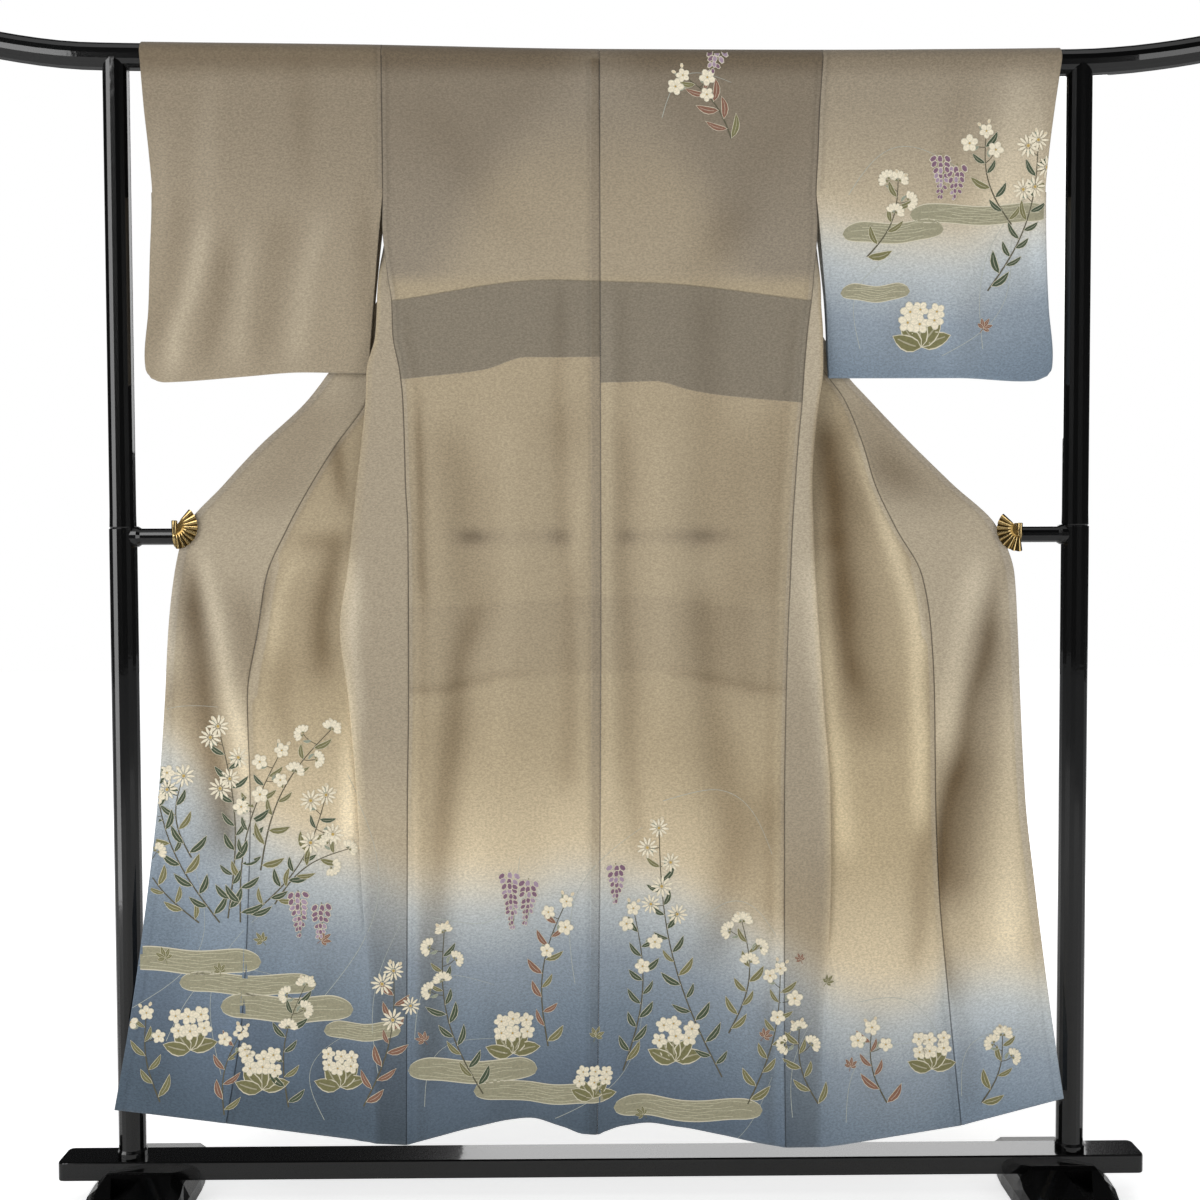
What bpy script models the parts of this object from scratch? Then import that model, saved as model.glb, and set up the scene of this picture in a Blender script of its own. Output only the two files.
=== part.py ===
"""Kimono hung over a black lacquered kimono stand, its fronts opened out and clipped to the crossbar.

Metres, +Z up, floor at z = 0. The back of the kimono faces -Y and +X is to the right of someone who looks
at it. Left and right in the names are that person's left and right. Table rows are in millimetres.
"""

import math

import bmesh
import bpy
import numpy as np
from mathutils import Vector

MM = 0.001
GAP = 0.0003
SEAM_GAP = 0.6
CLOTH = 0.0016
COLLAR_CLOTH = 0.0024
COLLAR_WIDTH = 56.0
SIDES = {"left": -1.0, "right": 1.0}

# Stand
RAIL_RADIUS = 0.019
CROSSBAR_RADIUS = 0.012
CROSSBAR_HEIGHT = 0.989
UPRIGHT_X = 0.700
UPPER_RADIUS = 0.0186
LOWER_RADIUS = 0.0196
JOINT_HEIGHT = 1.0016
BASE_LENGTH = 1.606
BASE_DEPTH = 0.054
BASE_HEIGHT = 0.028
BASE_TOP = 0.069
FOOT_HALF_LENGTH = 0.155
FOOT_INSET = 0.018
CLIP_RADIUS = 0.033
CLIP_PLEATS = 9

# Height of the top rail's axis along its length: it sags a little and both ends sweep up
RAIL_AXIS = (
    (-960.0, 1720.0),
    (-920.0, 1709.5),
    (-866.0, 1699.0),
    (-809.0, 1690.0),
    (-751.0, 1684.5),
    (-694.0, 1683.0),
    (-360.0, 1679.0),
    (0.0, 1672.5),
    (325.0, 1671.5),
    (500.0, 1672.5),
    (701.0, 1675.0),
    (759.0, 1678.5),
    (818.0, 1685.0),
    (876.0, 1694.0),
    (920.0, 1703.0),
    (960.0, 1713.5),
)
TOP_ROW = 1672.0
CLOTH_OVER_RAIL = RAIL_RADIUS + 2.5 * GAP + CLOTH / 2
NECK_ANGLE = 132.0
RAIL_ANGLES = (26.0, 52.0, 78.0, 105.0, NECK_ANGLE, 156.0)
NECK_HALF = 88.0

# A front panel seen from above, at each height: the side seam, the pleat's outer and inner turn, where the
# cloth doubles back behind itself, the okumi seam and the okumi's free edge. x is the distance from the
# centre, y the depth. Near the shoulder the pleat is open and the panel hangs on the far side of the rail.
FRONT_COLUMNS = ("z", "side_x", "side_y", "out_near_x", "out_near_y", "out_far_x", "out_far_y",
                 "in_near_x", "in_near_y", "in_far_x", "in_far_y", "seam_x", "seam_y", "edge_x", "edge_y")
FRONT = {
    "left": (
        (1672, 313.5, 20.1, 285, 20.1, 262, 20.1, 150, 20.1, 118, 20.1, 88, 20.1, 88, 20.1),
        (1630, 313.5, 20.1, 285, 20.1, 263, 20.1, 150, 20.1, 114, 21.5, 112, 25.5, 112, 25.5),
        (1590, 313.3, 20.0, 286, 20.1, 264, 20.1, 146, 20.0, 119, 24.0, 148, 27.5, 148, 27.5),
        (1540, 313.0, 19.8, 288, 20.0, 268, 20.0, 141, 18.5, 130, 24.5, 186, 27.5, 186, 27.5),
        (1483, 313.0, 19.5, 296, 19.5, 281, 19.5, 136, 16.5, 136, 23.0, 226, 26.0, 228, 26.0),
        (1440, 314.0, 5.0, 312, 13.0, 302, 18.0, 148, 14.0, 149, 20.5, 247, 23.5, 255, 24.0),
        (1400, 311.0, -8.0, 316, 0.0, 311, 10.0, 161, 11.5, 162, 18.0, 266, 21.0, 283, 21.5),
        (1360, 306.0, -18.5, 318, -14.0, 316, -4.0, 178, 8.5, 179, 15.5, 284, 18.5, 310, 19.5),
        (1330, 301.0, -24.0, 318, -22.5, 317, -13.0, 193, 6.5, 194, 14.0, 297, 17.0, 331, 18.0),
        (1280, 299.5, -24.5, 321, -24.5, 320, -16.0, 217, 3.0, 218, 11.0, 313, 14.0, 364, 15.0),
        (1227, 290.0, -24.5, 335, -24.5, 334, -17.5, 247, -2.0, 248, 5.0, 330, 9.5, 400, 10.0),
        (1186, 286.0, -24.5, 337, -25.0, 336, -19.0, 260, -6.0, 261, 0.0, 343, 5.0, 431, 5.5),
        (1120, 284.0, -24.5, 344, -25.5, 343, -19.5, 294, -10.0, 295, -4.5, 389, -1.0, 500, -0.5),
        (1064, 283.0, -24.5, 351, -25.5, 350, -19.5, 320, -13.5, 321, -8.0, 423, -6.5, 551, -6.0),
        (1000, 280.0, -24.5, 358, -25.5, 357, -19.5, 345, -19.0, 346, -13.8, 457, -13.6, 605, -13.3),
        (930, 280.0, -24.5, 367, -25.0, 366, -19.5, 357, -19.0, 358, -13.6, 488, -14.5, 622, -16.0),
        (857, 280.5, -24.5, 378, -25.0, 376, -19.5, 367, -19.0, 368, -13.5, 500, -16.0, 630, -19.0),
        (750, 281.0, -24.5, 366, -25.0, 365, -19.5, 357, -19.0, 358, -13.5, 517, -18.0, 636, -22.0),
        (600, 284.0, -25.0, 355, -25.5, 354, -20.5, 346, -19.5, 347, -14.5, 514, -20.0, 648, -24.5),
        (485, 285.0, -25.5, 350, -26.0, 350, -21.5, 346, -20.5, 348, -16.5, 517, -22.0, 662, -26.0),
        (300, 287.0, -27.0, 338, -27.0, 344, -25.0, 352, -24.0, 360, -22.5, 527, -25.5, 689, -28.0),
        (85, 289.0, -29.0, 332, -28.5, 345, -27.0, 356, -26.0, 368, -25.0, 560, -29.0, 728, -31.0),
    ),
    "right": (
        (1672, 322.0, 20.1, 290, 20.1, 265, 20.1, 150, 20.1, 118, 20.1, 88, 20.1, 88, 20.1),
        (1630, 319.5, 20.1, 289, 20.1, 265, 20.1, 148, 20.1, 113, 21.5, 111, 25.5, 111, 25.5),
        (1590, 317.0, 20.0, 288, 20.1, 265, 20.1, 142, 20.0, 115, 24.0, 143, 27.5, 143, 27.5),
        (1540, 315.5, 19.8, 290, 20.0, 268, 20.0, 136, 18.5, 125, 24.5, 174, 27.5, 174, 27.5),
        (1483, 313.0, 19.5, 296, 19.5, 281, 19.5, 127, 16.5, 127, 23.0, 207, 26.0, 209, 26.0),
        (1440, 315.0, 5.0, 312, 13.0, 302, 18.0, 136, 14.0, 137, 20.5, 226, 23.5, 233, 24.0),
        (1400, 313.0, -8.0, 317, 0.0, 311, 10.0, 149, 11.5, 150, 18.0, 241, 21.0, 257, 21.5),
        (1360, 309.0, -18.5, 317, -14.0, 315, -4.0, 162, 8.5, 163, 15.5, 258, 18.5, 281, 19.5),
        (1330, 306.0, -24.0, 316, -22.5, 315, -13.0, 173, 6.5, 174, 14.0, 272, 17.0, 300, 18.0),
        (1280, 300.0, -24.5, 319, -24.5, 318, -16.0, 188, 3.0, 189, 11.0, 298, 14.0, 330, 15.0),
        (1227, 295.5, -24.5, 320, -24.5, 319, -17.5, 205, -2.0, 206, 5.0, 332, 9.5, 361, 10.0),
        (1186, 293.0, -24.5, 315, -25.0, 314, -19.0, 218, -6.0, 219, 0.0, 360, 5.0, 397, 5.5),
        (1120, 287.0, -24.5, 308, -25.5, 307, -19.5, 240, -10.0, 241, -4.5, 386, -1.0, 459, -0.5),
        (1064, 283.0, -24.5, 305, -25.5, 304, -19.5, 259, -13.5, 260, -8.0, 402, -6.5, 515, -6.0),
        (1000, 279.0, -24.5, 307, -25.5, 306, -19.5, 283, -19.0, 284, -13.8, 431, -13.6, 580, -13.3),
        (930, 276.3, -24.5, 310, -25.0, 309, -19.5, 294, -19.0, 295, -13.6, 470, -14.5, 606, -16.0),
        (857, 273.0, -24.5, 315, -25.0, 314, -19.5, 299, -19.0, 300, -13.5, 483, -16.0, 610, -19.0),
        (750, 270.0, -24.5, 322, -25.0, 321, -19.5, 307, -19.0, 308, -13.5, 489, -18.0, 614, -22.0),
        (600, 268.0, -25.0, 333, -25.5, 332, -20.5, 319, -19.5, 320, -14.5, 491, -20.0, 622, -24.5),
        (485, 268.0, -25.5, 334, -26.0, 334, -21.5, 325, -20.5, 327, -16.5, 495, -22.0, 635, -26.0),
        (300, 268.0, -27.0, 325, -27.0, 331, -25.0, 339, -24.0, 347, -22.5, 511, -25.5, 659, -28.0),
        (85, 270.0, -29.0, 320, -28.5, 333, -27.0, 345, -26.0, 357, -25.0, 533, -29.0, 692, -31.0),
    ),
}
# Hem height at those seven places of a front
FRONT_HEM = {
    "left": (93.0, 95.0, 97.0, 98.0, 100.0, 127.0, 149.0),
    "right": (85.0, 85.0, 85.0, 86.0, 87.0, 116.0, 156.0),
}
HEM_ROW = 85.0
HEM_REACH = 500.0
OKUMI_TOP = 1458.0

# Depth of the back at its side seam and at its centre
BACK_COLUMNS = ("z", "side_y", "centre_y")
BACK = (
    (1672, -20.1, -20.1),
    (1483, -19.5, -20.5),
    (1400, -21.3, -21.5),
    (1360, -22.8, -22.0),
    (1330, -24.2, -22.3),
    (1227, -24.5, -23.0),
    (989, -24.5, -23.2),
    (600, -25.0, -23.5),
    (300, -27.0, -25.0),
    (85, -29.0, -28.0),
)
# Soft valleys down the back, where the cloth sinks against the crossbar
VALLEY_HEIGHTS = (85.0, 350.0, 600.0, 989.0, 1150.0, 1330.0)
VALLEYS = (
    {"x": (-215, -212, -208, -192, -185, -180), "depth": (0.0, 3.0, 7.0, 9.6, 4.0, 0.0), "width": 27.0},
    {"x": (-114, -92, -75, -59, -58, -60), "depth": (13.0, 8.0, 6.0, 9.4, 5.0, 0.0), "width": 30.0},
    {"x": (68, 52, 45, 41, 40, 40), "depth": (11.0, 7.0, 6.0, 9.4, 5.0, 0.0), "width": 30.0},
    {"x": (190, 180, 170, 155, 150, 150), "depth": (1.0, 3.0, 7.0, 9.6, 4.0, 0.0), "width": 27.0},
)
BACK_HEM = (
    (-289, 93), (-243, 105), (-187, 119), (-137, 127), (-103, 127), (-59, 118), (-28, 107), (-8, 106),
    (2, 110), (31, 118), (70, 119), (116, 116), (172, 105), (225, 93), (270, 85),
)
CENTRE_SEAM = ((85, -8.0), (600, -2.0), (1000, 0.0), (1672, 0.0))

# A sleeve: distance of both vertical edges from the centre, and how far each layer stands from the
# middle of the bag at the body side, at the cuff side and between
SLEEVE_COLUMNS = ("z", "inner_x", "outer_x", "inner_half", "outer_half", "swell")
SLEEVE = {
    "left": (
        (1672, 313.5, 660.0, 20.1, 20.1, 0.0),
        (1600, 313.3, 656.0, 20.0, 15.0, 0.6),
        (1540, 313.0, 651.0, 19.8, 10.5, 1.4),
        (1483, 313.0, 648.0, 19.5, 6.5, 2.0),
        (1465, 314.8, 648.5, 18.0, 4.4, 2.2),
        (1400, 322.0, 652.0, 13.5, 3.3, 3.0),
        (1320, 329.5, 655.5, 8.0, 3.2, 3.0),
        (1250, 336.0, 662.0, 4.4, 3.2, 1.4),
        (1232, 337.5, 660.5, 3.4, 3.2, 0.5),
        (1220, 338.5, 652.0, 3.2, 3.2, 0.0),
    ),
    "right": (
        (1672, 322.0, 668.0, 20.1, 20.1, 0.0),
        (1600, 317.6, 659.0, 20.0, 15.0, 0.6),
        (1540, 315.5, 653.0, 19.8, 10.5, 1.4),
        (1483, 313.0, 649.5, 19.5, 6.5, 2.0),
        (1465, 314.8, 649.8, 18.0, 4.4, 2.2),
        (1400, 322.0, 651.5, 13.5, 3.3, 3.0),
        (1320, 329.5, 655.5, 8.0, 3.2, 3.0),
        (1250, 332.5, 662.0, 4.4, 3.2, 1.4),
        (1232, 333.5, 661.0, 3.4, 3.2, 0.5),
        (1220, 334.0, 652.5, 3.2, 3.2, 0.0),
    ),
}
SLEEVE_ACROSS = (0.0, 0.15, 0.31, 0.47, 0.63, 0.79, 0.9, 0.95, 0.98, 1.0)
SLEEVE_ANGLES = (23.0, 46.0, 68.0, 90.0, 112.0, 134.0, 157.0)
SLEEVE_DOWN = (0.0, 0.022, 0.06, 0.15, 0.28, 0.41, 0.545, 0.588, 0.7, 0.83, 0.92, 1.0)
CUFF_ROW = 7
SLEEVE_BOTTOM = {
    "left": (
        (0.0, 1229), (0.3, 1231), (0.57, 1225), (0.9, 1217.5), (0.95, 1217), (0.98, 1218.5), (1.0, 1222),
    ),
    "right": (
        (0.0, 1221), (0.3, 1221), (0.6, 1221), (0.9, 1216), (0.95, 1216.5), (0.98, 1219), (1.0, 1223),
    ),
}
FOLD_BELOW = 2.4

BACK_ROWS = (85, 150, 220, 300, 392, 485, 600, 675, 750, 857, 930, 970, 1010, 1064, 1120, 1186, 1227,
             1280, 1330, 1400, 1483, 1580)
FRONT_ROWS = (1672, 1651, 1630, 1610, 1590, 1565, 1540, 1511, 1483, 1461, 1440, 1420, 1400, 1380, 1360,
              1345, 1330, 1305, 1280, 1253, 1227, 1186, 1153, 1120, 1064, 1032, 1000, 930, 857, 804,
              750, 600, 485, 300, 190, 85)
CENTRE_COLUMNS = 3
PANEL_STEPS = (2, 3, 3, 3, 3)
OKUMI_STEPS = 4
COLLAR_ROWS = (1048, 1085, 1120, 1153, 1186, 1227, 1253, 1280, 1305, 1330, 1360, 1400, 1440, 1483,
               1511, 1540, 1565, 1590, 1610, 1630, 1648)
COLLAR_STEPS = 4


def smooth(stations, values, at):
    """Reads a table between its rows with a cubic that never overshoots a row."""
    order = np.argsort(stations)
    x = np.asarray(stations, float)[order]
    y = np.asarray(values, float)[order]
    steps = np.diff(x)
    slopes = np.diff(y) / steps
    tangent = np.empty_like(y)
    tangent[0] = slopes[0]
    tangent[-1] = slopes[-1]
    before = slopes[:-1]
    after = slopes[1:]
    same_way = before * after > 0
    tangent[1:-1] = np.where(same_way, 2 * before * after / np.where(same_way, before + after, 1.0), 0.0)
    at = np.clip(at, x[0], x[-1])
    k = np.clip(np.searchsorted(x, at, side="right") - 1, 0, len(x) - 2)
    t = (at - x[k]) / steps[k]
    start = y[k] * (1 + 2 * t) * (1 - t) ** 2 + steps[k] * tangent[k] * t * (1 - t) ** 2
    end = y[k + 1] * t * t * (3 - 2 * t) + steps[k] * tangent[k + 1] * t * t * (t - 1)
    return start + end


def column(table, columns, name, at):
    index = columns.index(name)
    return smooth([row[0] for row in table], [row[index] for row in table], at)


def pairs(table, at):
    return smooth([row[0] for row in table], [row[1] for row in table], at)


def ease(t):
    t = np.clip(t, 0.0, 1.0)
    return t * t * (3 - 2 * t)


def rail_height(x):
    return pairs(RAIL_AXIS, x)


def material(name, colour, roughness, metallic=0.0, coat=0.0):
    made = bpy.data.materials.new(name)
    made.use_nodes = True
    shader = made.node_tree.nodes["Principled BSDF"]
    shader.inputs["Base Color"].default_value = (*colour, 1.0)
    shader.inputs["Roughness"].default_value = roughness
    shader.inputs["Metallic"].default_value = metallic
    shader.inputs["Coat Weight"].default_value = coat
    made.diffuse_color = (*colour, 1.0)
    return made


def mesh_object(name, bm, slot, smooth_faces=True):
    mesh = bpy.data.meshes.new(name)
    bm.to_mesh(mesh)
    bm.free()
    mesh.materials.append(slot)
    if smooth_faces:
        mesh.shade_smooth()
    made = bpy.data.objects.new(name, mesh)
    bpy.context.scene.collection.objects.link(made)
    return made


def thicken(made, thickness):
    wall = made.modifiers.new("Wall", "SOLIDIFY")
    wall.thickness = thickness
    wall.offset = 0.0
    wall.use_even_offset = True
    wall.use_quality_normals = True


def sheet(name, rows, slot, thickness=CLOTH, outward=(0, -1, 0)):
    """A wall through a grid of points in millimetres. A None in a row leaves its faces out."""
    bm = bmesh.new()
    grid = [[None if p is None else bm.verts.new(Vector(p) * MM) for p in row] for row in rows]
    for lower, upper in zip(grid, grid[1:]):
        for k in range(len(lower) - 1):
            corners = (lower[k], lower[k + 1], upper[k + 1], upper[k])
            if None not in corners:
                bm.faces.new(corners)
    bm.normal_update()
    first = next(iter(bm.faces))
    if first.normal.dot(Vector(outward)) < 0:
        bmesh.ops.reverse_faces(bm, faces=bm.faces[:])
    made = mesh_object(name, bm, slot)
    thicken(made, thickness)
    return made


# Body lengths

def front_controls(side, row):
    """The seven places of a front at one row, from the side seam to the okumi's edge: (x, y, z)."""
    table = FRONT[side]
    fall = 1.0 - ease((row - HEM_ROW) / HEM_REACH)
    points = []
    for k, hem in enumerate(FRONT_HEM[side]):
        z = row + (hem - HEM_ROW) * fall
        x = column(table, FRONT_COLUMNS, FRONT_COLUMNS[1 + 2 * k], z)
        y = column(table, FRONT_COLUMNS, FRONT_COLUMNS[2 + 2 * k], z)
        z = z + (rail_height(SIDES[side] * x) - TOP_ROW) * ease((row - 1483.0) / (TOP_ROW - 1483.0))
        points.append(np.array((x, y, z)))
    return points


def unit(vector):
    return vector / max(np.linalg.norm(vector), 1e-6)


def turn(start, end, along_start, along_end, steps):
    """A soft fold between two places, bulging the way the cloth runs into it."""
    reach = np.linalg.norm(end - start) * (1.5 - 0.5 * float(along_start @ along_end))
    points = []
    for k in range(1, steps + 1):
        t = k / steps
        points.append(
            start * (1 + 2 * t) * (1 - t) ** 2 + end * t * t * (3 - 2 * t)
            + along_start * reach * t * (1 - t) ** 2 + along_end * reach * t * t * (t - 1)
        )
    return points


def front_section(side, row):
    """A front from its side seam to the okumi seam, with the pleat that doubles behind the strip."""
    c = front_controls(side, row)[:6]
    runs = [unit(c[1] - c[0]), unit(c[3] - c[2]), unit(c[5] - c[4])]
    points = [c[0]]
    for k, steps in enumerate(PANEL_STEPS):
        if k % 2:
            points += turn(c[k], c[k + 1], runs[k // 2], runs[k // 2 + 1], steps)
        else:
            points += [c[k] + (c[k + 1] - c[k]) * n / steps for n in range(1, steps + 1)]
    return points


def back_depth(x, across, z):
    side_y = column(BACK, BACK_COLUMNS, "side_y", z)
    centre_y = column(BACK, BACK_COLUMNS, "centre_y", z)
    y = centre_y + (side_y - centre_y) * across ** 2
    for valley in VALLEYS:
        middle = smooth(VALLEY_HEIGHTS, valley["x"], z)
        depth = smooth(VALLEY_HEIGHTS, valley["depth"], z)
        y = y + depth * math.exp(-((x - middle) / valley["width"]) ** 2)
    return y


def back_row(side, row):
    """The back from the centre seam to the side seam at one row."""
    sign = SIDES[side]
    count = CENTRE_COLUMNS + sum(PANEL_STEPS)
    side_x = column(FRONT[side], FRONT_COLUMNS, "side_x", row) - SEAM_GAP
    centre = sign * pairs(CENTRE_SEAM, row) + 0.5 * GAP / MM
    neck = centre + (side_x - centre) * NECK_HALF / 317.0
    points = []
    for k in range(count + 1):
        if k <= CENTRE_COLUMNS:
            x = centre + (neck - centre) * k / CENTRE_COLUMNS
        else:
            x = neck + (side_x - neck) * (k - CENTRE_COLUMNS) / sum(PANEL_STEPS)
        fall = 1.0 - ease((row - HEM_ROW) / HEM_REACH)
        z = row + (pairs(BACK_HEM, sign * x) - HEM_ROW) * fall
        y = back_depth(sign * x, x / side_x, z)
        z = z + (rail_height(sign * x) - TOP_ROW) * ease((row - 1483.0) / (TOP_ROW - 1483.0))
        points.append((sign * x, y, z))
    return points


def body_rows(side):
    sign = SIDES[side]
    rows = [back_row(side, row) for row in BACK_ROWS]
    radius = CLOTH_OVER_RAIL / MM
    start = back_row(side, TOP_ROW)
    end = front_section(side, TOP_ROW)[::-1]
    rows.append(start)
    for angle in RAIL_ANGLES:
        turned = math.radians(angle)
        points = []
        for k, (x, _, _) in enumerate(start):
            if k >= CENTRE_COLUMNS:
                x = x + (sign * end[k - CENTRE_COLUMNS][0] - x) * ease(angle / 180.0)
            if k < CENTRE_COLUMNS and angle > NECK_ANGLE:
                points.append(None)
                continue
            height = rail_height(x)
            points.append((x, -radius * math.cos(turned), height + radius * math.sin(turned)))
        rows.append(points)
    for row in FRONT_ROWS:
        section = front_section(side, row)[::-1]
        rows.append([None] * CENTRE_COLUMNS + [(sign * x, y, z) for x, y, z in section])
    return rows


def okumi_rows(side):
    """The overlap strip from the okumi seam to its free edge, below where it starts on the collar."""
    sign = SIDES[side]
    rows = []
    for row in (OKUMI_TOP, *[r for r in FRONT_ROWS if r < OKUMI_TOP]):
        seam, edge = front_controls(side, row)[5:]
        across = unit(edge - seam)
        start = seam + across * GAP / MM
        rows.append([(sign * p[0], p[1], p[2]) for p in
                     (start + (edge - start) * k / OKUMI_STEPS for k in range(OKUMI_STEPS + 1))])
    return rows


# Collar

def front_edge(side, row):
    controls = front_controls(side, row)
    return controls[6] if row < OKUMI_TOP else controls[5]


def cloth_behind(side, x, row):
    """Depth of the far face of the front at a place, for what lies against it."""
    places = front_controls(side, row)[4:]
    return np.interp(x, [p[0] for p in places], [p[1] for p in places])


def collar_rows():
    """The folded band from the left front edge round the neck to the right front edge."""
    lift = (CLOTH + COLLAR_CLOTH) / 2 / MM + 1.0
    sides = {}
    for side, sign in SIDES.items():
        rows = []
        for row in COLLAR_ROWS:
            edge = front_edge(side, row)
            slope = unit(front_edge(side, row + 12.0) - front_edge(side, row - 12.0))
            inward = unit(np.array((-abs(slope[2]), 0.0, -abs(slope[0]))))
            drop = ease((row - 1560.0) / 100.0)
            inward = unit(inward * (1.0 - drop) + np.array((-0.25, 0.0, -1.0)) * drop)
            free = edge + inward * COLLAR_WIDTH
            behind = cloth_behind(side, free[0], free[2])
            free[1] = behind + lift + 3.5 * drop
            edge = edge + np.array((0.0, lift, 0.0))
            steps = [k / COLLAR_STEPS for k in range(COLLAR_STEPS + 1)]
            rows.append([(sign * p[0], p[1], p[2]) for p in (edge + (free - edge) * k for k in steps)])
        sides[side] = rows
    neck = []
    for x in (-83.0, -80.0, -60.0, -32.0, 0.0, 32.0, 60.0, 80.0, 83.0):
        height = rail_height(x)
        corner = ease((abs(x) - 80.0) / 3.0)
        turned = math.radians(NECK_ANGLE + 5.0 + 34.0 * corner)
        radius = CLOTH_OVER_RAIL / MM + 0.7 + 1.2 * corner
        reach = math.radians(NECK_ANGLE + 33.0 + 24.0 * corner)
        neck.append([
            (x, -radius * math.cos(turned), height + radius * math.sin(turned)),
            (x * 0.99, -(radius + 1.2) * math.cos(reach), height + (radius + 1.2) * math.sin(reach)),
            (x * 0.97, 24.6 + 2.4 * corner, height - 12.0 - 4.0 * corner),
            (x * 0.95, 26.4 + 2.0 * corner, height - 27.0 - 4.0 * corner),
            (x * 0.92, 28.0 + 2.0 * corner, height - 42.0 - 6.0 * corner),
        ])
    return sides["left"] + neck + sides["right"][::-1]


# Sleeves

def sleeve(side, slot):
    """A bag folded over the rail: open at the cuff above the notch and all along the body side."""
    sign = SIDES[side]
    table = SLEEVE[side]
    bm = bmesh.new()

    def place(across, down, layer):
        bottom = pairs(SLEEVE_BOTTOM[side], across)
        z = bottom + down * (TOP_ROW - bottom)
        inner = column(table, SLEEVE_COLUMNS, "inner_x", z) + GAP / MM
        outer = column(table, SLEEVE_COLUMNS, "outer_x", z)
        x = inner + (outer - inner) * across
        half = column(table, SLEEVE_COLUMNS, "inner_half", z) * (1 - across)
        half = half + column(table, SLEEVE_COLUMNS, "outer_half", z) * across
        half = half + column(table, SLEEVE_COLUMNS, "swell", z) * 4 * across * (1 - across)
        z = z + (rail_height(sign * x) - TOP_ROW) * ease((z - 1483.0) / (TOP_ROW - 1483.0))
        return sign * x, layer * half, z

    columns = []
    outer_middle = {}
    for across in SLEEVE_ACROSS:
        x, _, z = place(across, 0.0, 0.0)
        ring = [(x + (sign * FOLD_BELOW * 0.7 if across == 1.0 else 0.0), 0.0, z - FOLD_BELOW)]
        ring += [place(across, down, -1.0) for down in SLEEVE_DOWN]
        x, _, _ = place(across, 1.0, 0.0)
        radius = CLOTH_OVER_RAIL / MM
        for angle in SLEEVE_ANGLES:
            turned = math.radians(angle)
            ring.append((x, -radius * math.cos(turned), rail_height(x) + radius * math.sin(turned)))
        ring += [place(across, down, 1.0) for down in SLEEVE_DOWN[::-1]]
        columns.append([bm.verts.new(Vector(p) * MM) for p in ring])
    count = len(columns[0])
    for left, right in zip(columns, columns[1:]):
        for k in range(count):
            bm.faces.new((left[k], right[k], right[(k + 1) % count], left[(k + 1) % count]))
    outer = columns[-1]
    outer_middle[0] = outer[0]
    for j in range(1, CUFF_ROW + 1):
        x, _, z = place(1.0, SLEEVE_DOWN[j], 0.0)
        outer_middle[j] = bm.verts.new(Vector((x + sign * FOLD_BELOW, 0.0, z)) * MM)
    for j in range(CUFF_ROW):
        near, near_next = outer[1 + j], outer[2 + j]
        far, far_next = outer[count - 1 - j], outer[count - 2 - j]
        bm.faces.new((near, outer_middle[j], outer_middle[j + 1], near_next))
        bm.faces.new((outer_middle[j], far, far_next, outer_middle[j + 1]))
    bmesh.ops.recalc_face_normals(bm, faces=bm.faces[:])
    bm.normal_update()
    lowest = min(bm.faces, key=lambda face: face.calc_center_median().z)
    if lowest.normal.z > 0:
        bmesh.ops.reverse_faces(bm, faces=bm.faces[:])
    made = mesh_object(f"sleeve_{side}", bm, slot)
    thicken(made, CLOTH)
    return made


# Stand

def ring_tube(name, stations, slot, sides=18):
    """A round bar through (centre, radius, tangent) stations, closed at both ends."""
    bm = bmesh.new()
    rings = []
    for centre, radius, along in stations:
        along = Vector(along).normalized()
        across = along.cross(Vector((0, 1, 0))).normalized()
        other = across.cross(along)
        rings.append([bm.verts.new(Vector(centre) + (across * math.cos(a) + other * math.sin(a)) * radius)
                      for a in (2 * math.pi * k / sides for k in range(sides))])
    for lower, upper in zip(rings, rings[1:]):
        for k in range(sides):
            bm.faces.new((lower[k], lower[(k + 1) % sides], upper[(k + 1) % sides], upper[k]))
    bm.faces.new(rings[0][::-1])
    bm.faces.new(rings[-1])
    bmesh.ops.recalc_face_normals(bm, faces=bm.faces[:])
    return mesh_object(name, bm, slot)


def rail_stations(radius, places):
    stations = []
    for x in places:
        slope = (rail_height(x + 1.0) - rail_height(x - 1.0)) / 2.0
        stations.append(((x * MM, 0.0, float(rail_height(x)) * MM), radius, (1.0, 0.0, float(slope))))
    return stations


def top_rail(slot):
    """The bar through both sleeves, with domed ends that sweep up."""
    half = [950.0, 925.0, 900.0, 870.0, 840.0, 810.0, 780.0, 750.0, 720.0, 690.0]
    half += [600.0, 500.0, 400.0, 300.0, 200.0, 100.0]
    stations = rail_stations(RAIL_RADIUS, [-x for x in half] + [0.0] + half[::-1])
    for end, sign in ((0, -1.0), (-1, 1.0)):
        centre, radius, along = stations[end]
        caps = []
        for angle in (40.0, 72.0):
            reach = 0.010 * math.sin(math.radians(angle))
            moved = Vector(centre) + Vector(along).normalized() * sign * reach
            caps.append((tuple(moved), radius * math.cos(math.radians(angle)), along))
        stations = caps[::-1] + stations if end == 0 else stations + caps
    return ring_tube("top_rail", stations, slot, 16)


def cut(made, cutter):
    cutter.hide_render = True
    cutter.display_type = "WIRE"
    boolean = made.modifiers.new("Cut", "BOOLEAN")
    boolean.operation = "DIFFERENCE"
    boolean.solver = "EXACT"
    boolean.object = cutter


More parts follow.
